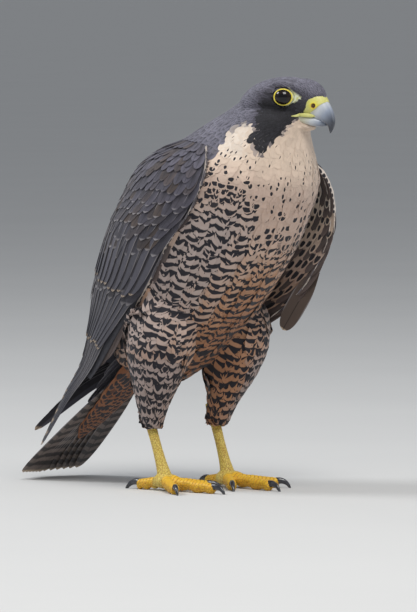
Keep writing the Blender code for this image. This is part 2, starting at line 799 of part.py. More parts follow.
def build_toe(name, label, side, joint, heading, length, claw, neighbours, made):
    """One toe along the floor and the hooked claw at its end."""
    angle = math.radians(heading) * side
    ahead = Vector((math.sin(angle), -math.cos(angle), 0))
    across = Vector((-ahead.y, ahead.x, 0))
    start = Vector((joint.x, joint.y, 0))
    rings = []
    for share, height, radius in TOE_PADS:
        centre = start + ahead * length * share + Vector((0, 0, height))
        pad = Vector((0, 0, -min(radius * 1.25, height + 0.4)))
        rings.append(ellipse_ring(centre, across * radius, Vector((0, 0, radius)), pad, 9))
    toe = loft(f"toe_{name}_{label}", rings, made["yellow_skin"])
    keep_side(toe, Vector((0, 0, 0)), Vector((0, 0, -1)))
    rings = []
    root = start + ahead * (length - 1.5) + Vector((0, 0, 5))
    for step in range(CLAW_STEPS + 1):
        share = step / CLAW_STEPS
        bend = math.radians(CLAW_RISE - CLAW_CURL * share)
        way = ahead * math.cos(bend) + Vector((0, 0, math.sin(bend)))
        if step:
            root = root + way * claw / CLAW_STEPS
        radius = CLAW_RADIUS * (1 - share) ** 0.8 + 0.25
        facing = across.cross(way) * -1
        rings.append(ellipse_ring(root, across * radius * 0.8, facing * radius, -facing * radius, 6))
    hook = loft(f"claw_{name}_{label}", rings, made["claw_horn"])
    keep_side(hook, Vector((0, 0, 0)), Vector((0, 0, -1)))
    cut_clear(toe, *neighbours)
    cut_clear(hook, toe)
    return [toe, hook]


def main():
    """Builds the falcon."""
    clear_scene()
    made = make_materials()
    torso = trunk_and_neck(made["barred_plumage"])
    head = build_head(torso, made)
    neck = copy_of(head, "neck")
    low, low_way = NECK_LOW
    high, high_way = NECK_HIGH
    keep_side(head, high * MM + high_way * GAP / 2, -high_way)
    keep_side(neck, high * MM - high_way * GAP / 2, high_way)
    keep_side(neck, low * MM + low_way * GAP / 2, -low_way)
    keep_side(torso, low * MM - low_way * GAP / 2, low_way)
    neck.data.materials.clear()
    neck.data.materials.append(made["barred_plumage"])
    for label in SIDES:
        wing = plain_wing("wing_" + label, label, made["slate_plumage"])
        vanes = wing_tiers(label)
        if label == "left":
            vanes.append(loose_feather())
        join_all(wing, vanes)
        cut_clear(wing, torso, neck)
    tail = build_tail(made["slate_plumage"])
    keep_side(tail, Vector((0, 0, 0)), Vector((0, 0, -1)))
    cut_clear(tail, torso)
    for label, side in SIDES.items():
        thigh = build_leg(label, side, made)
        cut_clear(thigh, torso)
        clearer = plain_wing("clearer", label, None, WING_SPARE)
        cut_clear(thigh, clearer)
        bpy.data.objects.remove(clearer, do_unlink=True)
    centre_on_floor()


def centre_on_floor():
    """Puts the origin under the middle of the whole bird, at floor level."""
    pieces = [thing for thing in bpy.data.objects if thing.type == "MESH"]
    spots = [vert.co for thing in pieces for vert in thing.data.vertices]
    middle = Vector((0, 0, 0))
    for axis in (0, 1):
        middle[axis] = (min(spot[axis] for spot in spots) + max(spot[axis] for spot in spots)) / 2
    middle.z = min(spot.z for spot in spots)
    print("origin moved by", -middle)
    for thing in pieces:
        thing.data.transform(Matrix.Translation(-middle))


main()
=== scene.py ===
# %% [markdown]
# # A life-size peregrine falcon, dressed feather by feather
#
# The frame that is loaded here is a bare falcon: trunk, neck, head, folded wings, tail, legs and
# bill, each at its real size. This script gives it what a museum model shows: one skin, some
# thousands of small body feathers, the long feathers of wings and tail, scaly feet, a glossy bill
# and living eyes. A new length is always read from the frame or from a named size in millimetres.

# %% The frame and its place
import math
import random

import bmesh
import bpy
import numpy as np
from mathutils import Matrix, Vector
from mathutils.bvhtree import BVHTree
from mathutils.kdtree import KDTree


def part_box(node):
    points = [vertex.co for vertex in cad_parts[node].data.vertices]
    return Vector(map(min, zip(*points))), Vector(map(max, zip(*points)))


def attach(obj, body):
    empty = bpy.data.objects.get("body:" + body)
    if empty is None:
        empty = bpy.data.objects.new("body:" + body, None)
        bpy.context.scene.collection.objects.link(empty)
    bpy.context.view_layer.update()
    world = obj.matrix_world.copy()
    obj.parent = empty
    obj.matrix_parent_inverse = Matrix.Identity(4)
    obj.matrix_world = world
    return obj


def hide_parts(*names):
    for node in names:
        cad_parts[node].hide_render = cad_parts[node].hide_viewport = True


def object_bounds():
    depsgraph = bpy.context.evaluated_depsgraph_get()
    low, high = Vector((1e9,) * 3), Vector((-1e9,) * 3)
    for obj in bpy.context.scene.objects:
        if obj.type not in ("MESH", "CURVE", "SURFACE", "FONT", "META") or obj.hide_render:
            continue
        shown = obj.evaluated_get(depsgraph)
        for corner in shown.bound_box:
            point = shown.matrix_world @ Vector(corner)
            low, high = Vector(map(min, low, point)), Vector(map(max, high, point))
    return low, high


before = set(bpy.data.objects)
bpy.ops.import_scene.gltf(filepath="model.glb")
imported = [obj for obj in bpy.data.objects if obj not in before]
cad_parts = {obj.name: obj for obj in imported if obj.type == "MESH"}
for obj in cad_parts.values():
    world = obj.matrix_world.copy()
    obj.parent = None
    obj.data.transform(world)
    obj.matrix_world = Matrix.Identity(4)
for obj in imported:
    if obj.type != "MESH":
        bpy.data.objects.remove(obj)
cad_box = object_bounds()
MM = 0.001
SIDES = {"right": -1, "left": 1}
print("frame nodes:", len(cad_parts))

# %% [markdown]
# ## Where the bird's own measures meet the frame
#
# The bird was drawn in millimetres round a point of its own, and then stood on the floor. Both
# eyes are balls, so the middle between them is easy to find again in the frame, and the
# difference to the drawn place is the shift for everything else.

# %% From drawn millimetres to the frame
EYE_MIDDLE = Vector((4, -93.6, 315.8))
HEAD_TURN = math.radians(14)
HEAD_NOD = math.radians(13)
HEAD_FRAME = Matrix.Rotation(HEAD_TURN, 3, "Z") @ Matrix.Rotation(HEAD_NOD, 3, "X")
EYE_FORWARD = -1.5
EYE_ASIDE = 14.0
UPWARD = Vector((0, 0, 1))
LEFTWARD = Vector((1, 0, 0))


def head_place(forward, side, up):
    """A point of the head, given forwards, to the bird's left and up from between the eyes."""
    return EYE_MIDDLE + HEAD_FRAME @ Vector((side, -forward, up))


def box_middle(node):
    """The middle of a frame node's box, in metres."""
    low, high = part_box(node)
    return (low + high) / 2


SHIFT = (box_middle("eye_left") + box_middle("eye_right")) / 2 - head_place(EYE_FORWARD, 0, 0) * MM
SHIFT_ARRAY = np.array(SHIFT)
print("shift of the drawn bird in mm:", [round(number / MM, 2) for number in SHIFT])

# %% [markdown]
# ## Curves and lofts
#
# Nearly every shape here is a smooth curve through a few stations, or a tube lofted through rings.


# %% Helpers for curves and lofts
def smooth_rows(stations, spans):
    """Rows of numbers on a smooth curve through the stations, spans rows to each gap."""
    rows = np.array(stations, float)
    ends = np.vstack([rows[:1], rows, rows[-1:]])
    found = []
    for index in range(len(rows) - 1):
        before, start, end, after = ends[index : index + 4]
        for share in np.arange(spans) / spans:
            linear = (end - before) * share
            square = (2 * before - 5 * start + 4 * end - after) * share**2
            cube = (3 * start - before - 3 * end + after) * share**3
            found.append(start + 0.5 * (linear + square + cube))
    found.append(rows[-1])
    return np.array(found)


def step_up(low, high, value):
    """0 at low, 1 at high and smooth between them, also where high is the lower number."""
    share = np.clip((value - low) / (high - low), 0, 1)
    return share * share * (3 - 2 * share)


def clamp(value):
    """The value, held between 0 and 1."""
    return min(max(value, 0), 1)


def part_way(first, last, share):
    """Numbers that share of the way from first to last."""
    return [a + (b - a) * share for a, b in zip(first, last)]


def follow(corners, place):
    """The second number of the corners where their first is at place."""
    table = np.array(corners, float)
    return np.interp(place, table[:, 0], table[:, 1])


def power_circle(angle, squareness):
    """Across and rise on a circle that a higher squareness makes boxier."""
    across = math.copysign(abs(math.cos(angle)) ** (2 / squareness), math.cos(angle))
    rise = math.copysign(abs(math.sin(angle)) ** (2 / squareness), math.sin(angle))
    return across, rise


def ring(centre, side, up, low, count, squareness=2.0):
    """Points round centre, where side, up and low reach to its extremes."""
    points = []
    for angle in np.arange(count) * 2 * math.pi / count:
        across, rise = power_circle(angle, squareness)
        points.append(centre + side * across + (up * rise if rise > 0 else low * -rise))
    return points


def loft(rings):
    """Points and faces of a closed tube through rings of equal count."""
    count = len(rings[0])
    spots = [spot for one in rings for spot in one]
    faces = []
    for row in range(len(rings) - 1):
        low = row * count
        high = low + count
        for index in range(count):
            after = (index + 1) % count
            faces.append([low + index, low + after, high + after, high + index])
    for row, turn in ((0, -1), (len(rings) - 1, 1)):
        spots.append(sum(rings[row], Vector()) / count)
        for index in range(count):
            edge = [row * count + index, row * count + (index + 1) % count]
            faces.append([*edge[::turn], len(spots) - 1])
    return spots, faces


# %% [markdown]
# ## Meshes and pieces
#
# Every finished piece rides on the still bird. Numbers that a material needs are kept on the
# piece's points, and shapes that come from Blender's own primitives are changed in their mesh, so
# that each object stays at the origin.


# %% Helpers for meshes and pieces
def settle(piece):
    """Lets a piece ride on the bird."""
    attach(piece, "root")
    return piece


def new_piece(name, spots, faces, finish, slot):
    """A smooth piece from points in drawn millimetres, riding on the bird."""
    mesh = bpy.data.meshes.new(name)
    mesh.from_pydata((np.array(spots) * MM + SHIFT_ARRAY).tolist(), [], [tuple(face) for face in faces])
    mesh.validate()
    body = bmesh.new()
    body.from_mesh(mesh)
    bmesh.ops.recalc_face_normals(body, faces=body.faces)
    body.to_mesh(mesh)
    body.free()
    mesh.shade_smooth()
    mesh.materials.append(finish)
    piece = bpy.data.objects.new(name, mesh)
    bpy.context.collection.objects.link(piece)
    return settle(piece)


def points_of(mesh):
    """A mesh's points in drawn millimetres."""
    flat = np.empty(len(mesh.vertices) * 3)
    mesh.vertices.foreach_get("co", flat)
    return (flat.reshape(-1, 3) - SHIFT_ARRAY) / MM


def normals_of(mesh):
    """A mesh's point normals."""
    flat = np.empty(len(mesh.vertices) * 3)
    mesh.vertex_normals.foreach_get("vector", flat)
    return flat.reshape(-1, 3)


def move_points(mesh, spots):
    """Sets a mesh's points to places in drawn millimetres."""
    mesh.vertices.foreach_set("co", (spots * MM + SHIFT_ARRAY).ravel())
    mesh.update()


def put_numbers(mesh, name, values):
    """Keeps one number, or the four of a colour, for each point of the mesh."""
    values = np.ascontiguousarray(values, np.float32)
    kind, field = ("FLOAT", "value") if values.ndim == 1 else ("FLOAT_COLOR", "color")
    layer = mesh.attributes.new(name, kind, "POINT")
    layer.data.foreach_set(field, values.ravel())


def put_map(mesh, name, values):
    """A UV map from one place for each corner."""
    layer = mesh.uv_layers.new(name=name)
    layer.data.foreach_set("uv", np.ascontiguousarray(values, np.float32).ravel())


def select(*pieces):
    """Makes these the only selected pieces, and the last of them the active one."""
    bpy.ops.object.select_all(action="DESELECT")
    for piece in pieces:
        piece.select_set(True)
        bpy.context.view_layer.objects.active = piece


def edit_whole(piece, step, **settings):
    """Does one modelling step on the whole of a piece in Edit Mode."""
    select(piece)
    bpy.ops.object.mode_set(mode="EDIT")
    bpy.ops.mesh.select_all(action="SELECT")
    step(**settings)
    bpy.ops.object.mode_set(mode="OBJECT")


def add_ball(segments, rows, turn, middle):
    """A ball of one millimetre, stretched and turned by a matrix and set round a drawn middle."""
    bpy.ops.mesh.primitive_uv_sphere_add(segments=segments, ring_count=rows, radius=MM)
    ball = bpy.context.object
    ball.data.transform(turn)
    ball.data.transform(Matrix.Translation(middle * MM + SHIFT))
    return ball


def join(*pieces):
    """One piece from many; the last of them stays."""
    select(*pieces)
    bpy.ops.object.join()
    return bpy.context.view_layer.objects.active


def remesh(piece, grain, rounds):
    """Makes a joined piece one closed skin, with faces of the grain's size, and smooths it."""
    closed = piece.modifiers.new("one skin", "REMESH")
    closed.mode = "VOXEL"
    closed.voxel_size = grain
    bpy.ops.object.modifier_apply(modifier=closed.name)
    soften = piece.modifiers.new("soften", "SMOOTH")
    soften.factor = 0.5
    soften.iterations = rounds
    bpy.ops.object.modifier_apply(modifier=soften.name)


# %% [markdown]
# ## Nodes for the finishes
#
# A feather's colour comes from where it grows and from where a point lies on it. So each feather
# carries two things: "tint" (red: warmth of the ground colour, green: how slate it is, blue: how
# big its dark mark is, alpha: how black the slate is, or how much painted shade greys the pale
# ground) and a map "vane" with the place across and along it. The materials below turn these into
# bars, drops, pale edges and shafts. Skin and feathers get their tint from the same function, so
# both carry the same markings.
#
# A Finish is a material being wired up, and a Wire is one of its sockets, which can be reckoned
# with: each + - * / and ** makes a Math node.


# %% Node helpers
class Wire:
    """A socket of a finish whose number can be reckoned with."""

    def __init__(self, finish, socket):
        self.finish = finish
        self.socket = socket

    def math(self, operation, *others):
        """One Math node with this wire as its first number."""
        node = self.finish.tree.nodes.new("ShaderNodeMath")
        node.operation = operation
        for socket, value in zip(node.inputs, (self, *others)):
            self.finish.feed(socket, value)
        return Wire(self.finish, node.outputs[0])

    def __add__(self, other):
        return self.math("ADD", other)

    def __sub__(self, other):
        return self.math("SUBTRACT", other)

    def __mul__(self, other):
        return self.math("MULTIPLY", other)

    def __truediv__(self, other):
        return self.math("DIVIDE", other)

    def __pow__(self, other):
        return self.math("POWER", other)

    def fade(self, low, high):
        """A smooth step of this number from 0 at low to 1 at high."""
        node = self.finish.tree.nodes.new("ShaderNodeMapRange")
        node.interpolation_type = "SMOOTHSTEP"
        first, last = (0.0, 1.0) if low < high else (1.0, 0.0)
        sizes = {"From Min": min(low, high), "From Max": max(low, high), "To Min": first, "To Max": last}
        for name, value in {"Value": self, **sizes}.items():
            self.finish.feed(node.inputs[name], value)
        return Wire(self.finish, node.outputs[0])

    def ramp(self, *stops):
        """A colour ramp over this number, through (place, colour) stops."""
        node = self.finish.tree.nodes.new("ShaderNodeValToRGB")
        self.finish.feed(node.inputs[0], self)
        while len(node.color_ramp.elements) < len(stops):
            node.color_ramp.elements.new(0.5)
        for element, (place, colour) in zip(node.color_ramp.elements, stops):
            element.position = place
            element.color = (*colour, 1)
        return Wire(self.finish, node.outputs[0])


class Finish:
    """A Principled material with its even values set on the shader's own sockets."""

    def __init__(self, name, roughness, **sockets):
        self.material = bpy.data.materials.new(name)
        self.material.use_nodes = True
        self.tree = self.material.node_tree
        self.shader = self.tree.nodes["Principled BSDF"]
        for socket, value in {"Roughness": roughness, **sockets}.items():
            self.shader.inputs[socket.replace("_", " ")].default_value = value

    def feed(self, socket, value):
        """Links a wire to a socket, or sets a value there."""
        if isinstance(value, Wire):
            self.tree.links.new(value.socket, socket)
        elif socket.type == "RGBA":
            socket.default_value = (*value, 1)
        else:
            socket.default_value = value

    def parts(self, kind, wire):
        """The outputs of a node that takes a vector or a colour apart."""
        node = self.tree.nodes.new(kind)
        self.feed(node.inputs[0], wire)
        return [Wire(self, socket) for socket in node.outputs]

    def place(self, coordinates="Object"):
        """The x, y and z of Object coordinates, or of another output of that node."""
        node = self.tree.nodes.new("ShaderNodeTexCoord")
        return self.parts("ShaderNodeSeparateXYZ", Wire(self, node.outputs[coordinates]))

    def texture(self, kind, output, stretch=None, **numbers):
        """One output of a texture on Object coordinates; a scale counts features in a metre."""
        node = self.tree.nodes.new(kind)
        for name, value in numbers.items():
            node.inputs[name].default_value = value
        source = self.tree.nodes.new("ShaderNodeTexCoord").outputs["Object"]
        if stretch:
            mapping = self.tree.nodes.new("ShaderNodeMapping")
            mapping.inputs["Scale"].default_value = stretch
            self.tree.links.new(source, mapping.inputs["Vector"])
            source = mapping.outputs[0]
        self.tree.links.new(source, node.inputs["Vector"])
        return node, Wire(self, node.outputs[output])

    def noise(self, scale, detail=3.0, stretch=None):
        """Noise with scale features in a metre."""
        return self.texture("ShaderNodeTexNoise", 0, stretch, Scale=scale, Detail=detail)[1]

    def attribute(self, name):
        """The node that reads what is kept on the piece's points."""
        node = self.tree.nodes.new("ShaderNodeAttribute")
        node.attribute_name = name
        return node

    def number(self, name):
        """A number kept on the piece's points."""
        return Wire(self, self.attribute(name).outputs["Fac"])

    def tint(self):
        """The four numbers of the tint attribute."""
        node = self.attribute("tint")
        colour = self.parts("ShaderNodeSeparateColor", Wire(self, node.outputs["Color"]))
        return (*colour, Wire(self, node.outputs["Alpha"]))

    def vane(self):
        """Across its feather (0 at the shaft, 1 at the edge), along it, and across with a sign."""
        node = self.tree.nodes.new("ShaderNodeUVMap")
        node.uv_map = "vane"
        across, along, _ = self.parts("ShaderNodeSeparateXYZ", Wire(self, node.outputs[0]))
        signed = across * 2.0 - 1.0
        return signed.math("ABSOLUTE"), along, signed

    def blend(self, factor, first, second, mode="MIX"):
        """One colour Mix node."""
        node = self.tree.nodes.new("ShaderNodeMix")
        node.data_type = "RGBA"
        node.blend_type = mode
        colours = [socket for socket in node.inputs if socket.type == "RGBA"]
        for socket, value in zip((node.inputs["Factor"], *colours), (factor, first, second)):
            self.feed(socket, value)
        return Wire(self, next(socket for socket in node.outputs if socket.type == "RGBA"))

    def shaded(self, colour, shade):
        """A colour made darker or lighter by a number round 1."""
        grey = self.tree.nodes.new("ShaderNodeCombineColor")
        for socket in grey.inputs:
            self.feed(socket, shade)
        return self.blend(1.0, colour, Wire(self, grey.outputs[0]), "MULTIPLY")

    def bump(self, height, strength, distance):
        """Feeds a height into the shader's normal."""
        node = self.tree.nodes.new("ShaderNodeBump")
        for name, value in {"Strength": strength, "Distance": distance, "Height": height}.items():
            self.feed(node.inputs[name], value)
        self.tree.links.new(node.outputs[0], self.shader.inputs["Normal"])

    def barbs(self, across, slant, along, count, strength):
        """Fine slanted barbs on a vane, as a bump."""
        ridges = (across * -slant + along * count) * math.pi
        self.bump(ridges.math("SINE"), strength, BARB_HEIGHT)

    def paint(self, colour):
        """Makes a colour the base colour and hands over the finished material."""
        self.feed(self.shader.inputs["Base Color"], colour)
        return self.material


BARB_HEIGHT = 0.00008
print("node helpers ready")

# %% [markdown]
# ## The colours of the plumage
#
# The ground runs from chalky white on the cheeks, through the pinkish buff of the breast, to rust
# on the belly; its darkest rust, low on the belly and under the tail, is partly painted shade, and
# a painted shade greys it on the flanks and thighs. The slate of the back runs from blue-grey,
# which on the crown is partly a painted sheen, to the near black of the moustache stripe. The dark
# marks are drops high on the breast and grow to bars on the flanks.

# %% Plumage material
# The darkest rust stops are partly the bird's rust wash and partly painted shade, low on the belly and
# under the tail where the underside faces down.
GROUND = [
    (0.0, (0.73, 0.68, 0.62)),
    (0.16, (0.66, 0.53, 0.42)),
    (0.42, (0.55, 0.41, 0.335)),
    (0.66, (0.43, 0.23, 0.13)),
    (1.0, (0.23, 0.08, 0.027)),
]
SLATE = [
    (0.0, (0.175, 0.17, 0.215)),
    (0.35, (0.095, 0.089, 0.117)),
    (0.7, (0.034, 0.032, 0.041)),
    (1.0, (0.007, 0.0065, 0.0085)),
]
# The grey of the painted shade on the pale ground of flanks and thighs; the pale edge feathers of the wings
# get a little of it too.
PAINTED_SHADE_GREY = (0.37, 0.315, 0.305)
WORN_SLATE = (0.085, 0.062, 0.052)
MIDDLE_SLATE = (0.024, 0.023, 0.03)
PALE_RIM = (0.30, 0.28, 0.29)
MARK_COLOUR = (0.014, 0.013, 0.019)
BARE_YELLOW = (0.56, 0.55, 0.22)
BARE_GREEN = (0.66, 0.70, 0.58)
BAND_STEP = 0.0085
MARK_PLACE = 0.82


def bands(made, across, mark):
    """Wavy bands across the lie, which drop a little in the middle of each feather."""
    _, y, z = made.place()
    level = y * (z.fade(0.11, 0.15) * -0.2 - 0.25) + z
    level = made.noise(60.0, 1.0) * 0.010 + level
    level = made.number("draw") * 0.0042 + level
    level = across**2.0 * -0.0038 + level
    off_line = ((level * (1 / BAND_STEP)).math("FRACT") - 0.5).math("ABSOLUTE")
    half = across * -0.17 + (mark * 0.22 + 0.045)
    half = made.noise(190.0, 1.0) * 0.18 + half
    return (off_line - half).fade(0.05, -0.05) * mark.fade(0.67, 0.69)


def plumage(name, on_feathers):
    """The finish of body feathers, or of the skin under them."""
    made = Finish(name, 0.72, Sheen_Weight=0.12, Specular_IOR_Level=0.3)
    warm, slate, mark, black = made.tint()
    fine = made.noise(420.0)
    # The tint's alpha greys the pale ground towards painted shade on the flanks and thighs.
    ground = made.blend(black, (fine * 0.16 + (warm - 0.08)).ramp(*GROUND), PAINTED_SHADE_GREY)
    grey = (fine * 0.22 + (black - 0.11)).ramp(*SLATE)
    grey = made.blend(warm.fade(0.45, 1.0), grey, WORN_SLATE)
    if on_feathers:
        across, along, _ = made.vane()
        bowed = (across**2.0 * 0.12 + along) + (made.noise(420.0, 2.0) * 0.1 - 0.05)
        apart = (bowed - MARK_PLACE) / (mark * 0.01 + 0.115)
        aside = across / (mark * 1.2 + 0.02)
        drop = (apart**2.0 + aside**2.6).fade(1.3, 0.7)
        marks = drop * (mark.fade(0.01, 0.05) * mark.fade(0.69, 0.67))
        marks = marks.math("MAXIMUM", bands(made, across, mark))
        grey = made.blend(across.fade(0.09, 0.03) * 0.5, grey, MARK_COLOUR)
        middle = across.fade(0.8, 0.1) * along.fade(0.98, 0.6)
        grey = made.blend(middle * 0.62, grey, MIDDLE_SLATE)
        rim = across.fade(0.84, 0.98).math("MAXIMUM", along.fade(0.935, 0.975))
        grey = made.blend(rim * made.number("rim"), grey, PALE_RIM)
        made.barbs(across, 26.0, along, 60.0, 0.25)
    else:
        marks = bands(made, fine * 0.8, mark)
        made.bump(fine, 0.3, 0.0004)
    colour = made.blend(slate, made.blend(marks, ground, MARK_COLOUR), grey)
    if on_feathers:
        return made.paint(made.shaded(colour, (made.number("draw") - 0.5) * (slate * 0.28 + 0.14) + 1.0))
    bare = made.blend(fine.fade(0.3, 0.7), BARE_YELLOW, BARE_GREEN)
    return made.paint(made.blend(made.number("bare"), colour, bare))


feather_finish = plumage("body feathers", True)
skin_finish = plumage("feathered skin", False)
print("finishes:", feather_finish.name, "and", skin_finish.name)

# %% [markdown]
# ## Where each colour grows
#
# The trunk is read as a row of slanted rings from the tail to the neck: a point's ring says how
# far up the body it lies, and its rise whether it looks to the back (1) or the belly (-1). On the
# head the places are measured forwards and up from between the eyes: the edge of the hood, the
# moustache stripe under the eye and the bare skin before the eye are a few straight edges there.

# %% Trunk rings and head places
TRUNK_STATIONS = [
    (62, 84, 97, 112, 20),
    (38, 82, 93, 132, 32),
    (8, 98, 86, 155, 44),
    (-22, 122, 78, 182, 53),
    (-52, 153, 68, 210, 59),
    (-80, 190, 56, 237, 62),
    (-98, 224, 40, 259, 62),
    (-107, 246, 22, 276, 58),
    (-107, 264, 0, 288, 45),
    (-105, 279, -22, 299, 34),
    (-106, 292, -39, 308, 27),
    (-105, 302, -50, 316, 18),
]
TRUNK = smooth_rows(TRUNK_STATIONS, 10)
FRONT_EDGE = TRUNK[:, 0:2]
BACK_EDGE = TRUNK[:, 2:4]
RING_MIDDLE = (FRONT_EDGE + BACK_EDGE) / 2
RING_HALF = (BACK_EDGE - FRONT_EDGE) / 2
RING_DEPTH = np.linalg.norm(RING_HALF, axis=1)
RING_OUT = RING_HALF / RING_DEPTH[:, None]
RING_WAY = np.stack([-RING_OUT[:, 1], RING_OUT[:, 0]], axis=1)
RING_REACH = 130


def trunk_places(spots):
    """For points in drawn millimetres: the nearest ring, the share of its depth and its width."""
    apart = spots[:, None, 1:] - RING_MIDDLE[None]
    off_plane = np.abs((apart * RING_WAY[None]).sum(axis=2))
    far = np.linalg.norm(apart, axis=2) > RING_REACH
    which = np.argmin(off_plane + far * 1000, axis=1)
    inside = spots[:, 1:] - RING_MIDDLE[which]
    rise = (inside * RING_OUT[which]).sum(axis=1) / RING_DEPTH[which]
    return which, rise, spots[:, 0] / TRUNK[which, 4]


def head_local(spots):
    """For points in drawn millimetres: to the left, backwards and up on the head."""
    return (spots - np.array(EYE_MIDDLE)) @ np.array(HEAD_FRAME)


def head_places(spots):
    """For points in drawn millimetres: forwards, aside and up on the head."""
    local = head_local(spots)
    return -local[:, 1], np.abs(local[:, 0]), local[:, 2]


# Corners in millimetres: (forwards, up) for the hood, (up, forwards) for the stripe, and how big
# a mark is, from 0 to 1, at each height on the body.
HOOD_EDGE = [
    (-60, -85), (-50, -68), (-39, -51), (-29, -34), (-22, -28), (-13, -25), (8, -15), (16, -12)
]
STRIPE_FRONT = [(-40, -1), (-37, 2.5), (-31, 7.5), (-25, 10), (-14, 13), (-10, 13.5)]
STRIPE_BACK = [(-40, -2), (-37, -4.5), (-31, -8), (-20, -12.5), (-16, -13.5)]
MARK_SIZES = [
    (130, 0.95), (188, 0.82), (210, 0.68), (220, 0.5), (238, 0.22), (268, 0.1), (284, 0.0)
]
RAGGEDNESS = 5
BACK_BLACK = 0.30
BREAST_WARMTH = 0.44
SPARSE_ABOVE = 226


def on_thigh(spots):
    """1 on the thighs, 0 on the trunk."""
    legs = (np.abs(spots[:, 0]) > 8) & (spots[:, 1] < 52)
    return step_up(126, 108, spots[:, 2]) * legs


def bare_skin(spots):
    """1 on the bare skin between the eye and the bill, which has three straight edges."""
    forward, aside, up = head_places(spots)
    above = 0.52 * (forward - 7.7) + 0.854 * (up - 7.2) + 1.6
    before = 0.868 * (forward - 13.7) - 0.496 * (up - 2.1)
    below = 0.674 * (forward - 8.6) - 0.739 * (up + 2.5)
    inside = step_up(0.6, -0.6, above) * step_up(0.6, -0.6, before) * step_up(0.6, -0.6, below)
    return inside * step_up(2.0, 4.0, forward) * (aside > 6)


def slate_places(spots, ragged):
    """How slate points are, and how black that slate is."""
    forward, _, up = head_places(spots)
    rise = trunk_places(spots)[1]
    back = step_up(0.10, 0.26, rise + ragged * 0.01 - 0.3 * step_up(235, 190, spots[:, 2]))
    hood = step_up(-1.5, 1.5, up - follow(HOOD_EDGE, forward) + ragged)
    stripe = step_up(1.0, -1.0, forward - follow(STRIPE_FRONT, up) + ragged * 0.3)
    stripe = stripe * step_up(-1.5, 1.5, forward - follow(STRIPE_BACK, up) + ragged)
    stripe = stripe * step_up(-40, -38, up + ragged * 0.4) * step_up(4, -8, up)
    off_eye = np.hypot((forward - 1) * 0.9, up) + ragged * 0.4
    # Off the face the hood's slate is lightened: partly the bird's own blue-grey, partly a painted sheen of
    # the sky on the crown and nape.
    face = step_up(-27, -3, forward) * step_up(9, -3, up)
    black = BACK_BLACK + hood * step_up(-62, -24, up) * (0.62 * face - 0.27)
    black = black + hood * 0.24 * step_up(14.5, 9, off_eye)
    black = np.maximum(black, stripe * 0.96)
    black = np.maximum(black, hood * 0.94 * step_up(-6, -17, up) * step_up(-21, -3, forward))
    return np.maximum(np.maximum(hood, stripe), back), black


def markings(spots, draw):
    """Tint numbers for points in drawn millimetres; draw is a random number for each."""
    rise = trunk_places(spots)[1]
    forward, _, up = head_places(spots)
    height = spots[:, 2]
    off_middle = np.abs(spots[:, 0])
    slate, black = slate_places(spots, (draw - 0.5) * RAGGEDNESS)
    # Warmer and darker rust low on the belly and low on the underside: partly the rust wash, partly painted
    # shade of the underside that faces down.
    belly = step_up(225, 145, height) * np.exp(-((off_middle / 36) ** 2))
    belly = np.maximum(belly, step_up(140, 100, height) * 0.7 * (rise < 0.4))
    cheek = step_up(-7, -14, forward) * step_up(-54, -44, up)
    warm = BREAST_WARMTH + 0.44 * belly - step_up(-72, -38, up) * (0.25 + 0.09 * cheek)
    # Painted shade: the pale ground is greyed on the lower flanks beside the wing and on the thighs.
    flank = step_up(22, 50, off_middle) * step_up(262, 225, height)
    legs = on_thigh(spots) * step_up(24, 36, off_middle)
    painted_shade = np.maximum(0.7 * flank * (1 - belly), 0.8 * legs)
    sinking = height - 42 * step_up(24, 48, off_middle) - 14 * (draw - 0.5)
    plain = (sinking > SPARSE_ABOVE) & ((draw * 7.3) % 1 < 0.45)
    mark = follow(MARK_SIZES, sinking) * np.where(plain, 0, 1)
    return np.stack([warm, slate, mark * (1 - slate), black * slate + painted_shade * (1 - slate)], axis=1)


print("trunk rings:", len(TRUNK))

# %% [markdown]
# ## One skin
#
# Trunk, neck, head and thighs are one body, so copies of them are joined and remeshed into one
# closed skin. Two balls are joined with them, where forehead and lores bulge over the bill. The
# skin is smoothed a little and drawn in by the depth of the coat: 2.2 mm on the body, 1.7 mm on
# the thighs and under a millimetre on the head, where the feathers are shortest.

# %% Joining and remeshing the flesh
FLESH = ("torso", "neck", "head", "thigh_right", "thigh_left")
SKIN_GRAIN = 0.0014
SKIN_ROUNDS = 8
SAME_POINT = 0.00001
COAT_DEPTH = 2.2
COAT_DEPTH_THIGH = 1.7
COAT_DEPTH_HEAD = 0.65
FOREHEAD_BALLS = [((11, 0, 4), (10.4, 18.2, 13.3)), ((13, 0, -2.5), (10.8, 10.4, 10))]


def flesh_copy(node):
    """A free copy of one node of the frame."""
    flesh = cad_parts[node].copy()
    flesh.data = flesh.data.copy()
    flesh.parent = None
    flesh.matrix_world = Matrix()
    bpy.context.collection.objects.link(flesh)
    return flesh


balls = []
for middle, radii in FOREHEAD_BALLS:
    turn = HEAD_FRAME.to_4x4() @ Matrix.Diagonal((*radii, 1))
    balls.append(add_ball(40, 24, turn, head_place(*middle)))
skin = join(*balls, *[flesh_copy(node) for node in FLESH])
skin.name = "skin"
edit_whole(skin, bpy.ops.mesh.remove_doubles, threshold=SAME_POINT)
remesh(skin, SKIN_GRAIN, SKIN_ROUNDS)
print("skin points:", len(skin.data.vertices))

# %% Drawing the skin in and marking it
skin_spots = points_of(skin.data)
head_share = step_up(-62, -30, head_places(skin_spots)[2])
depth = COAT_DEPTH + (COAT_DEPTH_HEAD - COAT_DEPTH) * head_share
depth = depth + (COAT_DEPTH_THIGH - COAT_DEPTH) * on_thigh(skin_spots)
skin_spots = skin_spots - normals_of(skin.data) * depth[:, None]
move_points(skin.data, skin_spots)
skin.data.shade_smooth()
skin.data.materials.clear()
skin.data.materials.append(skin_finish)


def mark_skin(mesh, spots):
    """Gives bare mesh the same markings as the feathers over it."""
    put_numbers(mesh, "tint", markings(spots, np.full(len(spots), 0.5)))
    put_numbers(mesh, "bare", bare_skin(spots))


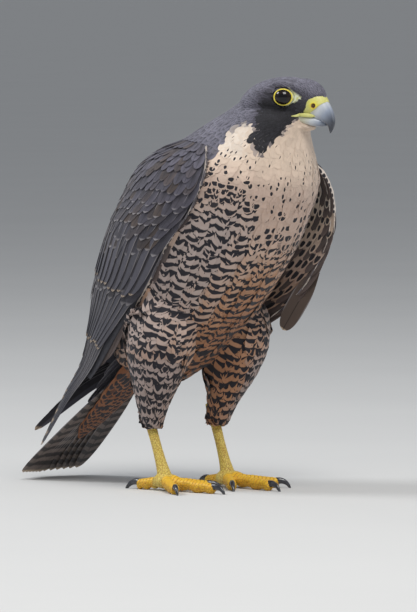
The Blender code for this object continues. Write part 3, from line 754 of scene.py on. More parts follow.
mark_skin(skin.data, skin_spots)
settle(skin)
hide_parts(*FLESH)
print("skin stands for:", ", ".join(FLESH))

# %% [markdown]
# ## The unwrap of the skin
#
# The body is unrolled like a label round a bottle: across is the angle round the trunk, up is the
# ring. Head and thighs are unrolled the same way above it. A feather's patch lies at the place of
# its root on this unwrap, so every feather finds its own small piece of the picture.

# %% Unrolling
PATCH = 0.003
TRUNK_TOP = 0.6
UPPER_ROW = 0.64
UPPER_TALL = 0.34


def turn_share(side, ahead):
    """An angle as a share of a whole turn."""
    return np.arctan2(side, ahead) / (2 * math.pi) + 0.5


def unroll(spots):
    """Places on the unwrap of the skin's own shape for points in drawn millimetres."""
    which, rise, side = trunk_places(spots)
    forward, _, up = head_places(spots)
    head = up > -30
    head_angle = turn_share(head_local(spots)[:, 0], up + 4)
    across = np.where(head, 0.48 * head_angle, turn_share(side, rise))
    head_high = UPPER_ROW + UPPER_TALL * np.clip((forward + 50) / 90, 0, 1)
    upward = np.where(head, head_high, TRUNK_TOP * which / len(TRUNK))
    thigh = on_thigh(spots) > 0.5
    leg = np.sign(spots[:, 0])
    leg_angle = turn_share(spots[:, 0] - leg * 34, spots[:, 1] - 12)
    across = np.where(thigh, 0.62 + leg * 0.12 + 0.2 * (leg_angle - 0.5) + 0.12, across)
    thigh_high = UPPER_ROW + UPPER_TALL * np.clip((spots[:, 2] - 45) / 80, 0, 1)
    return np.stack([across, np.where(thigh, thigh_high, upward)], axis=1)


corners = np.empty(len(skin.data.loops), int)
skin.data.loops.foreach_get("vertex_index", corners)
corner_map = unroll(skin_spots)[corners].reshape(-1, 4, 2)
corner_map = corner_map - np.round((corner_map - corner_map[:, :1]) * [1, 0])
put_map(skin.data, "OFBake", corner_map.reshape(-1, 2))
print("skin faces unrolled:", len(corner_map))

# %% [markdown]
# ## One feather, to be laid thousands of times
#
# A vane is a thin sheet, narrow at its root, widest past the middle and round at its tip. It is
# modelled once from a grid: moved so that it runs from 0 to 1 along y, given its outline, and made
# solid with Solidify. Each feather of the bird is then a copy, bent over what it lies on. The
# body feather has few faces because there are thousands of them, and the flight feather has more.

# %% Master vanes
# For each outline: where it is widest, its half width at the root and at the tip, how blunt it is.
ROUND_OUTLINE = (0.62, 0.35, 0.08, 2)
LONG_OUTLINE = (0.5, 0.42, 0.05, 3.2)


def half_width(outline, along):
    """Half the width of a feather, as a share of the widest."""
    widest, root, tip, blunt = outline
    if along < widest:
        return root + (1 - root) * math.sin(math.pi / 2 * along / widest)
    beyond = (along - widest) / (1 - widest)
    return tip + (1 - tip) * math.sqrt(max(0.0, 1 - beyond**blunt))


def master_vane(name, columns, rows, outline, crowding):
    """Points, faces and row shares of a vane in unit sizes, modelled from a grid."""
    bpy.ops.mesh.primitive_grid_add(x_subdivisions=columns, y_subdivisions=rows, size=2)
    sheet = bpy.context.object
    edit_whole(sheet, bpy.ops.transform.translate, value=(0, 1, 0))
    edit_whole(sheet, bpy.ops.transform.resize, value=(1, 0.5, 1), center_override=(0, 0, 0))
    for point in sheet.data.vertices:
        point.co.y = 1 - (1 - point.co.y) ** crowding
        point.co.x *= half_width(outline, point.co.y)
    solid = sheet.modifiers.new("thickness", "SOLIDIFY")
    solid.thickness = 1.0
    solid.offset = -1.0
    bpy.ops.object.modifier_apply(modifier=solid.name)
    points = np.array([point.co[:] for point in sheet.data.vertices])
    faces = np.array([face.vertices[:] for face in sheet.data.polygons])
    rims = np.array([abs(face.normal.z) < 0.5 for face in sheet.data.polygons])
    shares, rows_of = np.unique(points[:, 1].round(5), return_inverse=True)
    bpy.data.objects.remove(sheet, do_unlink=True)
    print(name, "faces:", len(faces))
    return {"points": points, "faces": faces, "rims": rims, "shares": shares, "row": rows_of}


small_vane = master_vane("small vane", 2, 4, ROUND_OUTLINE, 1.6)
body_vane = master_vane("body vane", 2, 6, ROUND_OUTLINE, 1.5)
covert_vane = master_vane("covert vane", 4, 9, ROUND_OUTLINE, 1.4)
flight_vane = master_vane("flight vane", 6, 22, LONG_OUTLINE, 1.25)

# %% [markdown]
# Laying a feather needs its middle line: for each row of the master a place, a direction to its
# side and a direction out of the body. The functions below put such a feather into words, and bend
# copies of the master along their lines into one piece, with the tint, the vane map and the patch
# of each.

# %% Laying feathers
draw = random.Random(7)


def feather(lines, width, thick, camber, tint, rim, patch, patch_size=PATCH, chance=None):
    """What lay_feathers needs of one vane; chance is its own random number."""
    return {
        "lines": [np.array(part) for part in zip(*lines)],
        "width": width,
        "thick": thick,
        "camber": camber,
        "tint": tint,
        "draw": draw.random() if chance is None else chance,
        "rim": rim,
        "patch": patch,
        "patch_size": patch_size,
    }


def lay_feathers(name, master, feathers, finish):
    """One piece of many vanes."""
    points = master["points"]
    rows = master["row"]
    total = len(feathers)
    spots = np.empty((total, len(points), 3))
    for index, one in enumerate(feathers):
        middle, side, out = one["lines"]
        reach = points[:, 0] * one["width"] / 2
        drop = points[:, 2] * one["thick"] - one["camber"] * points[:, 0] ** 2
        spots[index] = middle[rows] + side[rows] * reach[:, None] + out[rows] * drop[:, None]
    faces = master["faces"][None] + (np.arange(total) * len(points))[:, None, None]
    mesh = bpy.data.meshes.new(name)
    shape = spots.reshape(-1, 3) * MM + SHIFT_ARRAY
    mesh.from_pydata(shape.tolist(), [], faces.reshape(-1, 4).tolist())
    flat_faces = mesh.attributes.new("sharp_face", "BOOLEAN", "FACE")
    flat_faces.data.foreach_set("value", np.tile(master["rims"], total))
    for field in ("tint", "draw", "rim"):
        values = np.array([one[field] for one in feathers], float)
        put_numbers(mesh, field, np.repeat(values, len(points), axis=0))
    local = points[master["faces"].ravel()][:, :2] * [0.5, 1]
    put_map(mesh, "vane", np.tile(local + [0.5, 0], (total, 1)))
    patches = np.array([one["patch"] for one in feathers], float)
    size = np.array([one["patch_size"] for one in feathers])
    local = (local - [0, 0.5])[None] * size[:, None, None] + patches[:, None, :]
    put_map(mesh, "OFBake", local.reshape(-1, 2))
    mesh.materials.append(finish)
    piece = bpy.data.objects.new(name, mesh)
    bpy.context.collection.objects.link(piece)
    print(name, "feathers:", total, "triangles:", total * len(master["faces"]) * 2)
    return settle(piece)


# %% [markdown]
# ## Lines over the skin
#
# A body feather's line starts at its root and is marched over the skin in the direction of the
# lie, which runs from the bill over the head, and then down the trunk to the tail. Each step is
# set back on the skin, and the line rises a little towards the tip, so that every feather lies
# over the next ones like a roof tile.

# %% Finding the skin again
skin_tree = BVHTree.FromPolygons(skin_spots.tolist(), [face.vertices[:] for face in skin.data.polygons])
skin_normals = normals_of(skin.data)
BILL_MIDDLE = head_place(34, 0, -4)
THIGH_WAY = Vector((0, 0.25, -1))
OFF_SKIN = 2.6


def tree_of(spots):
    """A tree that finds the nearest of some points."""
    tree = KDTree(len(spots))
    for index, spot in enumerate(spots):
        tree.insert(spot, index)
    tree.balance()
    return tree


skin_points = tree_of(skin_spots)


def skin_at(spot):
    """The nearest place on the skin and its smooth normal."""
    near = skin_tree.find_nearest(spot)[0]
    return near, Vector(skin_normals[skin_points.find(near)[1]])


def flattened(way, normal):
    """The direction, laid into the plane of the normal."""
    return (way - normal * way.dot(normal)).normalized()


def lie(spot, normal):
    """The direction in which a feather at this place lies."""
    one = np.array([spot])
    way = Vector((0, *(-RING_WAY[trunk_places(one)[0][0]])))
    on_head = float(step_up(-52, -20, head_places(one)[2][0]))
    way = way * (1 - on_head) + (spot - BILL_MIDDLE).normalized() * on_head
    if on_thigh(one)[0] > 0.3:
        way = THIGH_WAY
    return flattened(way, normal)


def skin_line(root, shares, length, turn, low, high):
    """Places, sides and outward directions of a feather's line over the skin."""
    spot, normal = skin_at(root)
    way = Matrix.Rotation(turn, 3, normal) @ lie(spot, normal)
    line = []
    done = 0.0
    for share in shares:
        target = spot + way * length * (share - done)
        near, fresh = skin_at(target)
        if (near - target).length > OFF_SKIN:
            near = target
            fresh = normal
        normal = (normal + fresh).normalized()
        way = flattened(way, normal)
        spot = near
        done = share
        line.append((spot + normal * (low + (high - low) * share), normal.cross(way) * -1, normal))
    return line


# %% [markdown]
# ## Roots
#
# On the trunk the roots stand in staggered rows, as real feather tracts do, so that the bars of
# neighbours meet in broken lines across the belly. On the head, the neck and the thighs they are
# scattered with a smallest distance instead.

# %% Rows of roots on the trunk
TRUNK_SQUARENESS = 2.15
ROOT_SPACING = [(0, 8.2), (0.3, 8.8), (0.62, 7.6), (0.8, 5.4), (0.93, 3.9)]
ROOT_WIDENING = [(0.5, 1.3), (0.72, 1.0)]
ROWS_END = 0.93
ROOT_REACH = 4.6
ROUND_STEPS = np.linspace(0, 2 * math.pi, 61)


def ring_spot(row, angle):
    """A point of the trunk's outline on one of its rings; angle 0 is its left side."""
    across, rise = power_circle(angle, TRUNK_SQUARENESS)
    return Vector((TRUNK[row, 4] * across, *(RING_MIDDLE[row] + RING_HALF[row] * rise)))


def trunk_roots():
    """Roots in staggered rows from the neck to the tail, with the spacing at each."""
    steps = np.linalg.norm(np.diff(FRONT_EDGE, axis=0), axis=1) * 0.55
    steps = steps + np.linalg.norm(np.diff(BACK_EDGE, axis=0), axis=1) * 0.45
    along = np.concatenate([[0], np.cumsum(steps)])
    place = along[-1] * ROWS_END
    roots = []
    odd = False
    while place > 1:
        spacing = float(follow(ROOT_SPACING, place / along[-1]))
        wider = float(follow(ROOT_WIDENING, place / along[-1]))
        row = int(np.argmin(np.abs(along - place)))
        around = [ring_spot(row, angle) for angle in ROUND_STEPS]
        walked = np.concatenate([[0], np.cumsum([(b - a).length for a, b in zip(around, around[1:])])])
        count = round(walked[-1] / spacing / wider)
        for index in range(count):
            want = (index + 0.5 * odd + draw.uniform(-0.16, 0.16)) % count * walked[-1] / count
            root = ring_spot(row, float(np.interp(want, walked, ROUND_STEPS)))
            near, _ = skin_at(root)
            if (near - root).length < ROOT_REACH:
                roots.append((near, spacing * wider))
        odd = not odd
        place -= spacing * 0.93 / wider**1.3
    return roots


body_roots = trunk_roots()
print("roots on the trunk:", len(body_roots))

# %% Scattered roots on head, neck and thighs
CERE_BACK = [
    (-30, 26), (-18, 26), (-16, 13), (-9, 13), (-5, 18.6), (1.8, 20.4), (3.4, 23), (5.5, 27), (8, 30)
]
NECK_TOP_RING = int(len(TRUNK) * 0.90)
NEIGHBOURS = [(x, y, z) for x in (-1, 0, 1) for y in (-1, 0, 1) for z in (-1, 0, 1)]
THIGH_SPACING = 4.4
UNROOTED_GAP = 5.5


def scatter(region, spacing, tries):
    """Roots on the skin where region holds, no closer to each other than spacing there."""
    rng = np.random.default_rng(11)
    faces = np.array([face.vertices[:3] for face in skin.data.polygons])
    pool = np.flatnonzero(region(skin_spots[faces].mean(axis=1)))
    first, second, third = skin_spots[faces[rng.choice(pool, tries)]].transpose(1, 0, 2)
    corner = rng.random((tries, 2))
    spots = first + (second - first) * corner[:, :1]
    spots = spots + (third - second) * corner[:, 1:]
    gaps = spacing(spots)
    cell = float(gaps.max())
    taken = {}
    kept = []
    for spot, gap in zip(spots, gaps):
        home = tuple((spot // cell).astype(int))
        near = [one for step in NEIGHBOURS for one in taken.get(tuple(np.add(home, step)), ())]
        if all(((one - spot) ** 2).sum() >= gap * gap for one in near):
            taken.setdefault(home, []).append(spot)
            kept.append((Vector(spot), float(gap)))
    return kept


def head_region(spots):
    """Where head feathers grow: above the neck, off the bill, the eye and the bare skin."""
    forward, aside, up = head_places(spots)
    above = (up > -34) | (trunk_places(spots)[0] > NECK_TOP_RING)
    off_bill = forward < follow(CERE_BACK, up)
    eye = np.linalg.norm(np.stack([forward - 1.8, aside - 18.5, up], axis=1), axis=1) > 7.9
    tips = np.linalg.norm(np.stack([forward - 4.2, aside - 17.5, up - 2], axis=1), axis=1) > 7.6
    ahead = np.array(HEAD_FRAME @ Vector((0, -1, 0)))
    bare = np.maximum(bare_skin(spots), bare_skin(spots - ahead * 2.6))
    return above & off_bill & eye & tips & (bare < 0.5)


def head_spacing(spots):
    """Smallest distance between roots on the head, finest round bill and eye."""
    forward, _, up = head_places(spots)
    near_bill = step_up(34, 6, np.hypot(forward - 26, up + 4))
    return 1.7 - 0.55 * near_bill + 0.6 * step_up(-20, -40, up)


rooted = tree_of([root for root, _ in body_roots])


def unrooted_region(spots):
    """The thighs, and every place below the neck that no row of roots has reached."""
    low = (head_places(spots)[2] < -50) & (trunk_places(spots)[0] < NECK_TOP_RING) & (spots[:, 2] > 50)
    far = np.array([rooted.find(spot)[2] > UNROOTED_GAP for spot in spots])
    return low & far


head_roots = scatter(head_region, head_spacing, 60000)
thigh_roots = scatter(unrooted_region, lambda spots: np.full(len(spots), THIGH_SPACING), 20000)
print("roots on the head:", len(head_roots), "and on the thighs:", len(thigh_roots))

# %% Body feathers
TIP_SPARE = 1.3
# Each coat: its vane, width and length as multiples of the roots' spacing, how high root and tip
# lie, how thick a vane is and how pale its rim.
BODY_COAT = (body_vane, 1.62, 2.7, 0.1, 0.66, 0.05, 0.3)
THIGH_COAT = (body_vane, 1.55, 2.8, 0.1, 0.66, 0.05, 0.2)
HEAD_COAT = (small_vane, 1.5, 3.1, 0.05, 0.34, 0.04, 0.06)


def lay_coat(name, roots, coat):
    """Lays feathers at the roots, each a little different."""
    master, wide, long, low, high, thick, rim = coat
    spots = np.array([root for root, _ in roots])
    draws = np.array([draw.random() for _ in roots])
    made = []
    for (root, spacing), chance, tint, patch in zip(roots, draws, markings(spots, draws), unroll(spots)):
        length = spacing * long * draw.uniform(0.9, 1.12)
        turn = math.radians(draw.gauss(0, 5))
        lines = skin_line(root, master["shares"], length, turn, low, high * draw.uniform(0.85, 1.1))
        tip = lines[-1][0]
        if (skin_at(tip)[0] - tip).length > high + TIP_SPARE:
            continue
        width = spacing * wide * draw.uniform(0.92, 1.1)
        pale = rim * draw.uniform(0.5, 1.0)
        made.append(feather(lines, width, thick, spacing * 0.028, tint, pale, patch, chance=chance))
    lay_feathers(name, master, made, feather_finish)


def head_middle(root):
    """Where the middle lies that divides right from left: off the body's on the turned head."""
    return EYE_MIDDLE.x * float(step_up(-50, -20, head_places(np.array([root]))[2][0]))


lay_coat("body_feathers", body_roots, BODY_COAT)
lay_coat("thigh_feathers", thigh_roots, THIGH_COAT)
for label, side in SIDES.items():
    ours = [(root, gap) for root, gap in head_roots if (root.x - head_middle(root)) * side > 0]
    lay_coat("head_feathers_" + label, ours, HEAD_COAT)

# %% [markdown]
# ## Wings
#
# A folded wing is a stack of tiers. At the shoulder small coverts lie like scales and grow larger
# down the wing, then come the greater coverts, the secondaries and, deepest and longest, the
# primaries that cross over the tail. Places on a wing are shares: along it from the shoulder to
# the tip, and across it from the leading edge to the trailing edge. The feathers grow on a slab,
# the flesh of the wing, and the inner face carries the mottled lining that shows under the left
# wing.

# %% The wing surface
# Leading edge, trailing edge and bulge of each station, with x counted outwards.
WING_STATIONS = {
    "right": [
        (46, -46, 278, 24, 2, 281, 7),
        (59, -57, 258, 33, 36, 262, 17),
        (62, -45, 228, 36, 58, 232, 19),
        (63, -19, 198, 35, 76, 202, 16),
        (57, 12, 160, 31, 95, 163, 10),
        (47, 53, 124, 20, 111, 130, 6),
        (35, 90, 92, 13, 127, 99, 3),
        (24, 129, 65, 13, 150, 68, 1.5),
        (12, 174, 26, 9, 179, 27, 0),
    ],
    "left": [
        (47, -50, 278, 24, 2, 281, 7),
        (62, -76, 252, 33, 36, 262, 19),
        (70, -78, 218, 36, 58, 232, 22),
        (71, -66, 184, 35, 76, 202, 20),
        (67, -33, 146, 31, 95, 163, 14),
        (54, 26, 112, 18, 112, 132, 8),
        (36, 84, 92, 6, 130, 106, 4),
        (17, 131, 74, -3, 154, 79, 1.5),
        (-13, 178, 38, -17, 184, 39, 0),
    ],
}
WING_ROWS = {label: smooth_rows(stations, 25) for label, stations in WING_STATIONS.items()}
WING_SLANT = Vector((0, 0.5, -0.86))
SLAB_END = 0.78
SLAB_SINK = 1.6
SLAB_THICK = 10
SLAB_THIN = 1.2
SLAB_COLUMNS = 14
FRAME_STEP = 0.012


def facing_out(vector, label):
    """The direction or its opposite, whichever points away from the body."""
    vector = vector.normalized()
    return -vector if vector.x * SIDES[label] < 0 else vector


def wing_point(label, share, across):
    """A point of one wing's outer face."""
    rows = WING_ROWS[label]
    place = clamp(share) * (len(rows) - 1)
    below = min(int(place), len(rows) - 2)
    row = rows[below] + (rows[below + 1] - rows[below]) * (place - below)
    side = SIDES[label]
    lead = Vector((side * row[0], row[1], row[2]))
    chord = Vector((side * row[3], row[4], row[5])) - lead
    outward = facing_out(chord.cross(WING_SLANT), label)
    return lead + chord * across + outward * row[6] * 4 * across * (1 - across)


def wing_frame(label, share, across):
    """The wing's point there, its direction to the trailing edge and its direction outwards."""
    ends = [wing_point(label, share, across + step) for step in (FRAME_STEP, -FRAME_STEP)]
    sideways = ends[0] - ends[1]
    back = wing_point(label, max(share - FRAME_STEP, 0), across)
    along = wing_point(label, min(share + FRAME_STEP, 1), across) - back
    outward = facing_out(along.cross(sideways), label)
    return wing_point(label, share, across), sideways.normalized(), outward


def wing_chord(label, share):
    """How wide the wing is there."""
    return (wing_point(label, share, 1) - wing_point(label, share, 0)).length


def slab_depth(share, across):
    """How thick the wing's flesh is at a place."""
    depth = SLAB_THICK + (SLAB_THIN - SLAB_THICK) * min(share / SLAB_END, 1) ** 1.5
    return depth * (0.3 + 0.7 * math.sin(math.pi * clamp(across))) * min(1, 0.4 + 9 * share)


def wing_slab(label):
    """The wing's flesh under its feathers."""
    rings = []
    for share in np.linspace(0, SLAB_END, 36):
        outer = []
        inner = []
        for column in range(SLAB_COLUMNS):
            across = 0.02 + 0.96 * column / (SLAB_COLUMNS - 1)
            spot, _, outward = wing_frame(label, share, across)
            outer.append(spot - outward * SLAB_SINK)
            inner.append(spot - outward * (SLAB_SINK + slab_depth(share, across)))
        rings.append(outer + inner[::-1])
    return loft(rings)


def tilted(spot, side, out, tilt):
    """A row of a feather's line, turned about its length."""
    leaning = side * math.cos(tilt) - out * math.sin(tilt)
    return spot, leaning, out * math.cos(tilt) + side * math.sin(tilt)


def wing_line(label, root, tip, low, high, shares, tilt, inner=False):
    """A feather's line over the wing between two places given in shares."""
    line = []
    for share in shares:
        along, across = part_way(root, tip, share)
        spot, sideways, outward = wing_frame(label, along, across)
        if inner:
            spot = spot - outward * (SLAB_SINK + slab_depth(along, across))
            outward = -outward
        line.append(tilted(spot + outward * (low + (high - low) * share), sideways, outward, tilt))
    return line


print("wing rows:", len(WING_ROWS["right"]))

# %% [markdown]
# The coverts stand in rows that grow wider down the wing. The tiers of long feathers are rows of
# their own, from the leading edge to the trailing edge: how many, where the first and the last
# grow and end, how wide they are, how high root and tip lie and how black they are.

# %% Wing feathers
LONG_TIERS = [
    (10, (0.46, 0.16), (0.42, 0.80), (0.995, 0.45), (0.74, 0.93), 15, -1.2, 0.8, 0.9),
    (11, (0.40, 0.10), (0.22, 0.92), (0.68, 0.22), (0.66, 0.95), 16, -1.0, 1.3, 0.74),
    (11, (0.30, 0.07), (0.18, 0.93), (0.52, 0.12), (0.47, 0.95), 15.5, -0.8, 1.9, 0.62),
]
COVERTS_END = 0.40
LINING_END = 0.62
LINING_WIDE = 0.78
DARK_LINING = 0.85


def long_feathers(label):
    """Primaries, secondaries and greater coverts of one wing."""
    made = []
    for count, first_root, last_root, first_tip, last_tip, width, low, high, black in LONG_TIERS:
        for index in range(count):
            root = part_way(first_root, last_root, index / (count - 1))
            tip = part_way(first_tip, last_tip, index / (count - 1))
            tip[0] += draw.uniform(-0.008, 0.008) * min(1, 8 * (1 - tip[0]))
            tilt = math.radians(draw.uniform(6, 9))
            lines = wing_line(label, root, tip, low, high, flight_vane["shares"], tilt)
            patch = ((len(made) % 6 + 0.5) / 6, (len(made) // 6 + 0.5) / 6)
            tint = (0.3, 1.0, 0.0, black + draw.uniform(-0.06, 0.06))
            made.append(feather(lines, width * draw.uniform(0.94, 1.06), 0.4, 0.5, tint, 0.55, patch, 0.14))
    return made


def wing_patch(at, across):
    """The place of a small feather on its piece's unwrap."""
    return 0.02 + 0.96 * clamp(at / 0.7), 0.05 + 0.9 * clamp(across)


def covert_feathers(label):
    """The rows of small and middle coverts of one wing's outer face."""
    made = []
    share = -0.01
    odd = False
    while share < COVERTS_END:
        down = max(share, 0)
        width = 7.5 + 19 * down
        long = (0.075 + 0.20 * down) * (1.0 if share < 0.3 else 1.15)
        chord = wing_chord(label, share)
        count = round(chord * 1.15 / (width * 0.70))
        first = 0.42 * width / chord
        for index in range(count + 1):
            across = first + (1 - first) * (index + 0.5 * odd) / count
            if across > 1.03:
                continue
            across += draw.uniform(-0.012, 0.012)
            at = share + draw.uniform(-0.007, 0.007)
            reach = long * draw.uniform(0.9, 1.12)
            tip = (at + reach, across + 0.35 * reach * (0.5 - across))
            tilt = math.radians(draw.uniform(-3, 6))
            high = draw.uniform(1.2, 1.7) - 0.3 * share
            lines = wing_line(label, (at, across), tip, -1.0, high, covert_vane["shares"], tilt)
            brown = draw.random() ** 3
            tint = (0.4 + 0.5 * brown, 1.0, 0.0, 0.30 + 1.1 * down + 0.15 * brown)
            rim = draw.uniform(0.35, 0.8) * float(step_up(0.02, 0.2, share))
            wide = width * draw.uniform(0.93, 1.08)
            made.append(feather(lines, wide, 0.14, 0.3, tint, rim, wing_patch(at, across), 0.02))
        odd = not odd
        share += 0.023 + 0.055 * down
    return made


def lining_feathers(label):
    """The mottled lining of one wing's inner face, near its leading edge."""
    made = []
    share = 0.02
    odd = False
    while share < LINING_END:
        width = 6.5 + 8 * share
        count = round(wing_chord(label, share) * 0.8 / (width * 0.7))
        for index in range(count):
            across = -0.01 + LINING_WIDE * (index + 0.5 * odd) / count
            at = share + draw.uniform(-0.006, 0.006)
            tip = (at + 0.062 + 0.09 * share, across + 0.02)
            high = draw.uniform(1.0, 1.5)
            lines = wing_line(label, (at, across), tip, -0.5, high, body_vane["shares"], 0.0, inner=True)
            tint = (0.06 + 0.5 * step_up(0.1, 0.45, share), 0.0, draw.uniform(0.3, 0.55), 0.0)
            if draw.random() < 0.1 + 0.4 * share or (across < 0.07 and draw.random() < 0.7):
                tint = (0.8, DARK_LINING, 0.0, draw.uniform(0.4, 0.8))
            wide = width * draw.uniform(0.9, 1.1)
            made.append(feather(lines, wide, 0.22, 0.3, tint, 0.0, wing_patch(at, across), 0.015))
        odd = not odd
        share += 0.026
    return made


def edge_feathers(label):
    """Small pale-tipped feathers wrapped round the leading edge."""
    made = []
    for share in np.arange(0.0, 0.5, 0.016):
        line = []
        for along in body_vane["shares"]:
            spot, sideways, outward = wing_frame(label, share + 0.05 * along, 0.0)
            line.append((spot - outward * 2.6 + sideways * (0.9 - 0.8 * along), outward, -sideways))
        pale = draw.random() < (0.85 if label == "left" else 0.5)
        tint = (0.05, 0.0 if pale else 0.9, 0.5 * pale, 0.3)
        patch = (0.02 + 0.96 * share, 0.02)
        made.append(feather(line, draw.uniform(4.5, 6), 0.14, 0.6, tint, 0.9, patch, 0.01))
    return made


print("long feathers of a wing:", sum(tier[0] for tier in LONG_TIERS))

# %% [markdown]
# Long feathers are slate with a paler web on one side of the shaft, a pale edge and a paler tip.
# Those of the tail are browner and paler underneath, and carry dark bars.

# %% The finish of long feathers
TAIL_BARS = 12
PALE_WEB = (0.12, 0.118, 0.15)
WORN_FLIGHT = (0.105, 0.075, 0.060)
UNDER_BROWN = (0.17, 0.132, 0.115)
BAR_COLOUR = (0.026, 0.021, 0.021)
TIP_COLOUR = (0.62, 0.47, 0.33)
EDGE_COLOUR = (0.26, 0.24, 0.24)
SHAFT_COLOUR = (0.02, 0.015, 0.014)


def flight(name, two_faced):
    """The finish of long feathers; two_faced ones are browner and paler underneath."""
    made = Finish(name, 0.58, Sheen_Weight=0.08, Specular_IOR_Level=0.35)
    warm, _, bars, black = made.tint()
    across, along, signed = made.vane()
    soft = made.noise(260.0)
    colour = (soft * 0.2 + (black - 0.1)).ramp(*SLATE)
    colour = made.blend(signed.fade(0.05, -0.25) * 0.3, colour, PALE_WEB)
    colour = made.blend(warm.fade(0.45, 1.0), colour, WORN_FLIGHT)
    if two_faced:
        colour = made.blend(made.place("Normal")[2].fade(0.15, -0.15), colour, UNDER_BROWN)
    drift = soft * 0.03 + (across * 0.035 + along)
    turns = (drift * (TAIL_BARS * 2 * math.pi)).math("SINE")
    colour = made.blend(turns.fade(-0.25, 0.2) * bars, colour, BAR_COLOUR)
    rim = made.number("rim")
    colour = made.blend(along.fade(0.968, 0.985) * rim, colour, TIP_COLOUR)
    colour = made.blend(across.fade(0.84, 0.97) * rim, colour, EDGE_COLOUR)
    colour = made.blend(across.fade(0.07, 0.03) * 0.7, colour, SHAFT_COLOUR)
    made.barbs(across, 34.0, along, 150.0, 0.2)
    return made.paint(made.shaded(colour, made.number("draw") * 0.3 + 0.85))


made = Finish("wing flesh", 0.8)
slab_finish = made.paint(made.noise(200.0).ramp((0.0, (0.03, 0.03, 0.038)), (1.0, (0.07, 0.07, 0.085))))
flight_finish = flight("flight feathers", False)
for label in SIDES:
    core = new_piece("wing_flesh_" + label, *wing_slab(label), slab_finish, "slate_plumage")
    for tier, master, build, finish in (
        ("long", flight_vane, long_feathers, flight_finish),
        ("coverts", covert_vane, covert_feathers, feather_finish),
        ("lining", body_vane, lining_feathers, feather_finish),
        ("edge", body_vane, edge_feathers, feather_finish),
    ):
        lay_feathers(f"wing_{tier}_{label}", master, build(label), finish)
    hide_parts("wing_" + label)

# %% [markdown]
# Under the open wing hangs one old feather, plain brown with a pale edge. It is a single long vane
# between its two ends.

# %% The loose feather
LOOSE_ROOT = Vector((70.5, -56, 175))
LOOSE_TIP = Vector((59, -30, 127))
LOOSE_OUT = Vector((0.96, 0.24, 0.1)).normalized()

run = LOOSE_TIP - LOOSE_ROOT
loose_side = LOOSE_OUT.cross(run).normalized()
lines = [(LOOSE_ROOT + run * share, loose_side, LOOSE_OUT) for share in flight_vane["shares"]]
loose = feather(lines, 17, 0.3, 0.6, (0.95, 1.0, 0.0, 0.42), 0.9, (0.5, 0.5), 0.9)
lay_feathers("loose_feather", flight_vane, [loose], flight_finish)

# %% [markdown]
# ## Tail
#
# Twelve feathers in six pairs, the middle pair on top and the others stepped under it. Underneath
# they are grey-brown with dark bars and pale tips, on top they are slate. Rust-coloured coverts
# with dark bars lie under their roots, slate ones above.

# %% Tail feathers
TAIL_ROOT = Vector((0, 80, 98))
TAIL_TIP = Vector((0, 187, 4.6))
TAIL_RUN = TAIL_TIP - TAIL_ROOT
TAIL_UP = TAIL_RUN.cross(LEFTWARD).normalized()
TAIL_UP = TAIL_UP if TAIL_UP.z > 0 else -TAIL_UP
TAIL_STEP_DOWN = 1.0
TAIL_FEATHER_WIDTH = 18
COVERT_COLUMNS = 7


def tail_line(shares, first, last, low, high, tilt, under=False):
    """A feather's line on the tail between two (along, across) places."""
    outward = -TAIL_UP if under else TAIL_UP
    side = -LEFTWARD if under else LEFTWARD
    line = []
    for share in shares:
        along, across = part_way(first, last, share)
        spot = TAIL_ROOT + TAIL_RUN * along + LEFTWARD * across + TAIL_UP * (low + (high - low) * share)
        line.append(tilted(spot, side, outward, tilt))
    return line


def tail_feathers():
    """The twelve long feathers."""
    made = []
    for pair in range(6):
        for side in (-1, 1):
            order = side * (pair + 0.5)
            lift = -TAIL_STEP_DOWN * pair + 0.25 * side
            last = (1 - 0.012 * pair, order * 5.6)
            tilt = math.radians(2.2) * side
            lines = tail_line(flight_vane["shares"], (0.1, order * 2.4), last, lift, lift, tilt)
            patch = ((len(made) % 4 + 0.5) / 4, (len(made) // 4 + 0.5) / 3)
            tint = (0.3, 1.0, 0.92, 0.42)
            made.append(feather(lines, TAIL_FEATHER_WIDTH, 0.5, 0.6, tint, 0.9, patch, 0.22))
    return made


def tail_coverts(under):
    """Rows of coverts over or under the tail's root."""
    made = []
    rows, step, long, fan, narrow = (11, 0.047, 0.2, 0.08, 0.95) if under else (5, 0.06, 0.25, 0.03, 1.0)
    for row in range(rows):
        low, high = (-7.0 + row * 0.05, -8.6 + row * 0.13) if under else (3.6 - row * 0.3, 3.4 - row * 0.4)
        start = -0.12 + step * row
        spread = 17 * (1 - row / (rows + 6))
        for column in range(COVERT_COLUMNS):
            order = 2 * (column + 0.5 * (row % 2)) / (COVERT_COLUMNS - 1) - 1
            first = (start + 0.03 * (1 - abs(order)), order * spread)
            last = (start + long + fan * (1 - abs(order)), order * spread * narrow)
            tilt = math.radians(draw.uniform(-3, 3))
            lines = tail_line(covert_vane["shares"], first, last, low, high, tilt, under)
            tint = (0.3, 1.0, 0.0, 0.4)
            if under:
                tint = (draw.uniform(0.9, 1.0), 0.0, draw.uniform(0.5, 0.7), 0.0)
            patch = (0.1 + 0.8 * column / COVERT_COLUMNS, 0.05 + 0.08 * row)
            made.append(feather(lines, draw.uniform(10, 12.5), 0.3, 0.5, tint, 0.6, patch, 0.02))
    return made


tail_finish = flight("tail feathers", True)
tail = lay_feathers("tail_feathers", flight_vane, tail_feathers(), tail_finish)
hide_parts("tail")
lay_feathers("tail_coverts_over", covert_vane, tail_coverts(False), feather_finish)
lay_feathers("tail_coverts_under", covert_vane, tail_coverts(True), feather_finish)

# %% [markdown]
# ## Eyes and lids
#
# A falcon's eye is a large, nearly black ball in a thin lemon-yellow ring of bare lid. The ball is
# a sphere, squashed a little in height like the ring round it, with a dark brown iris and a clear
# gloss. The ring is a torus, turned to face the way the eye looks. A skirt of feathered skin, an
# open loft, slopes from the ring down to the head.

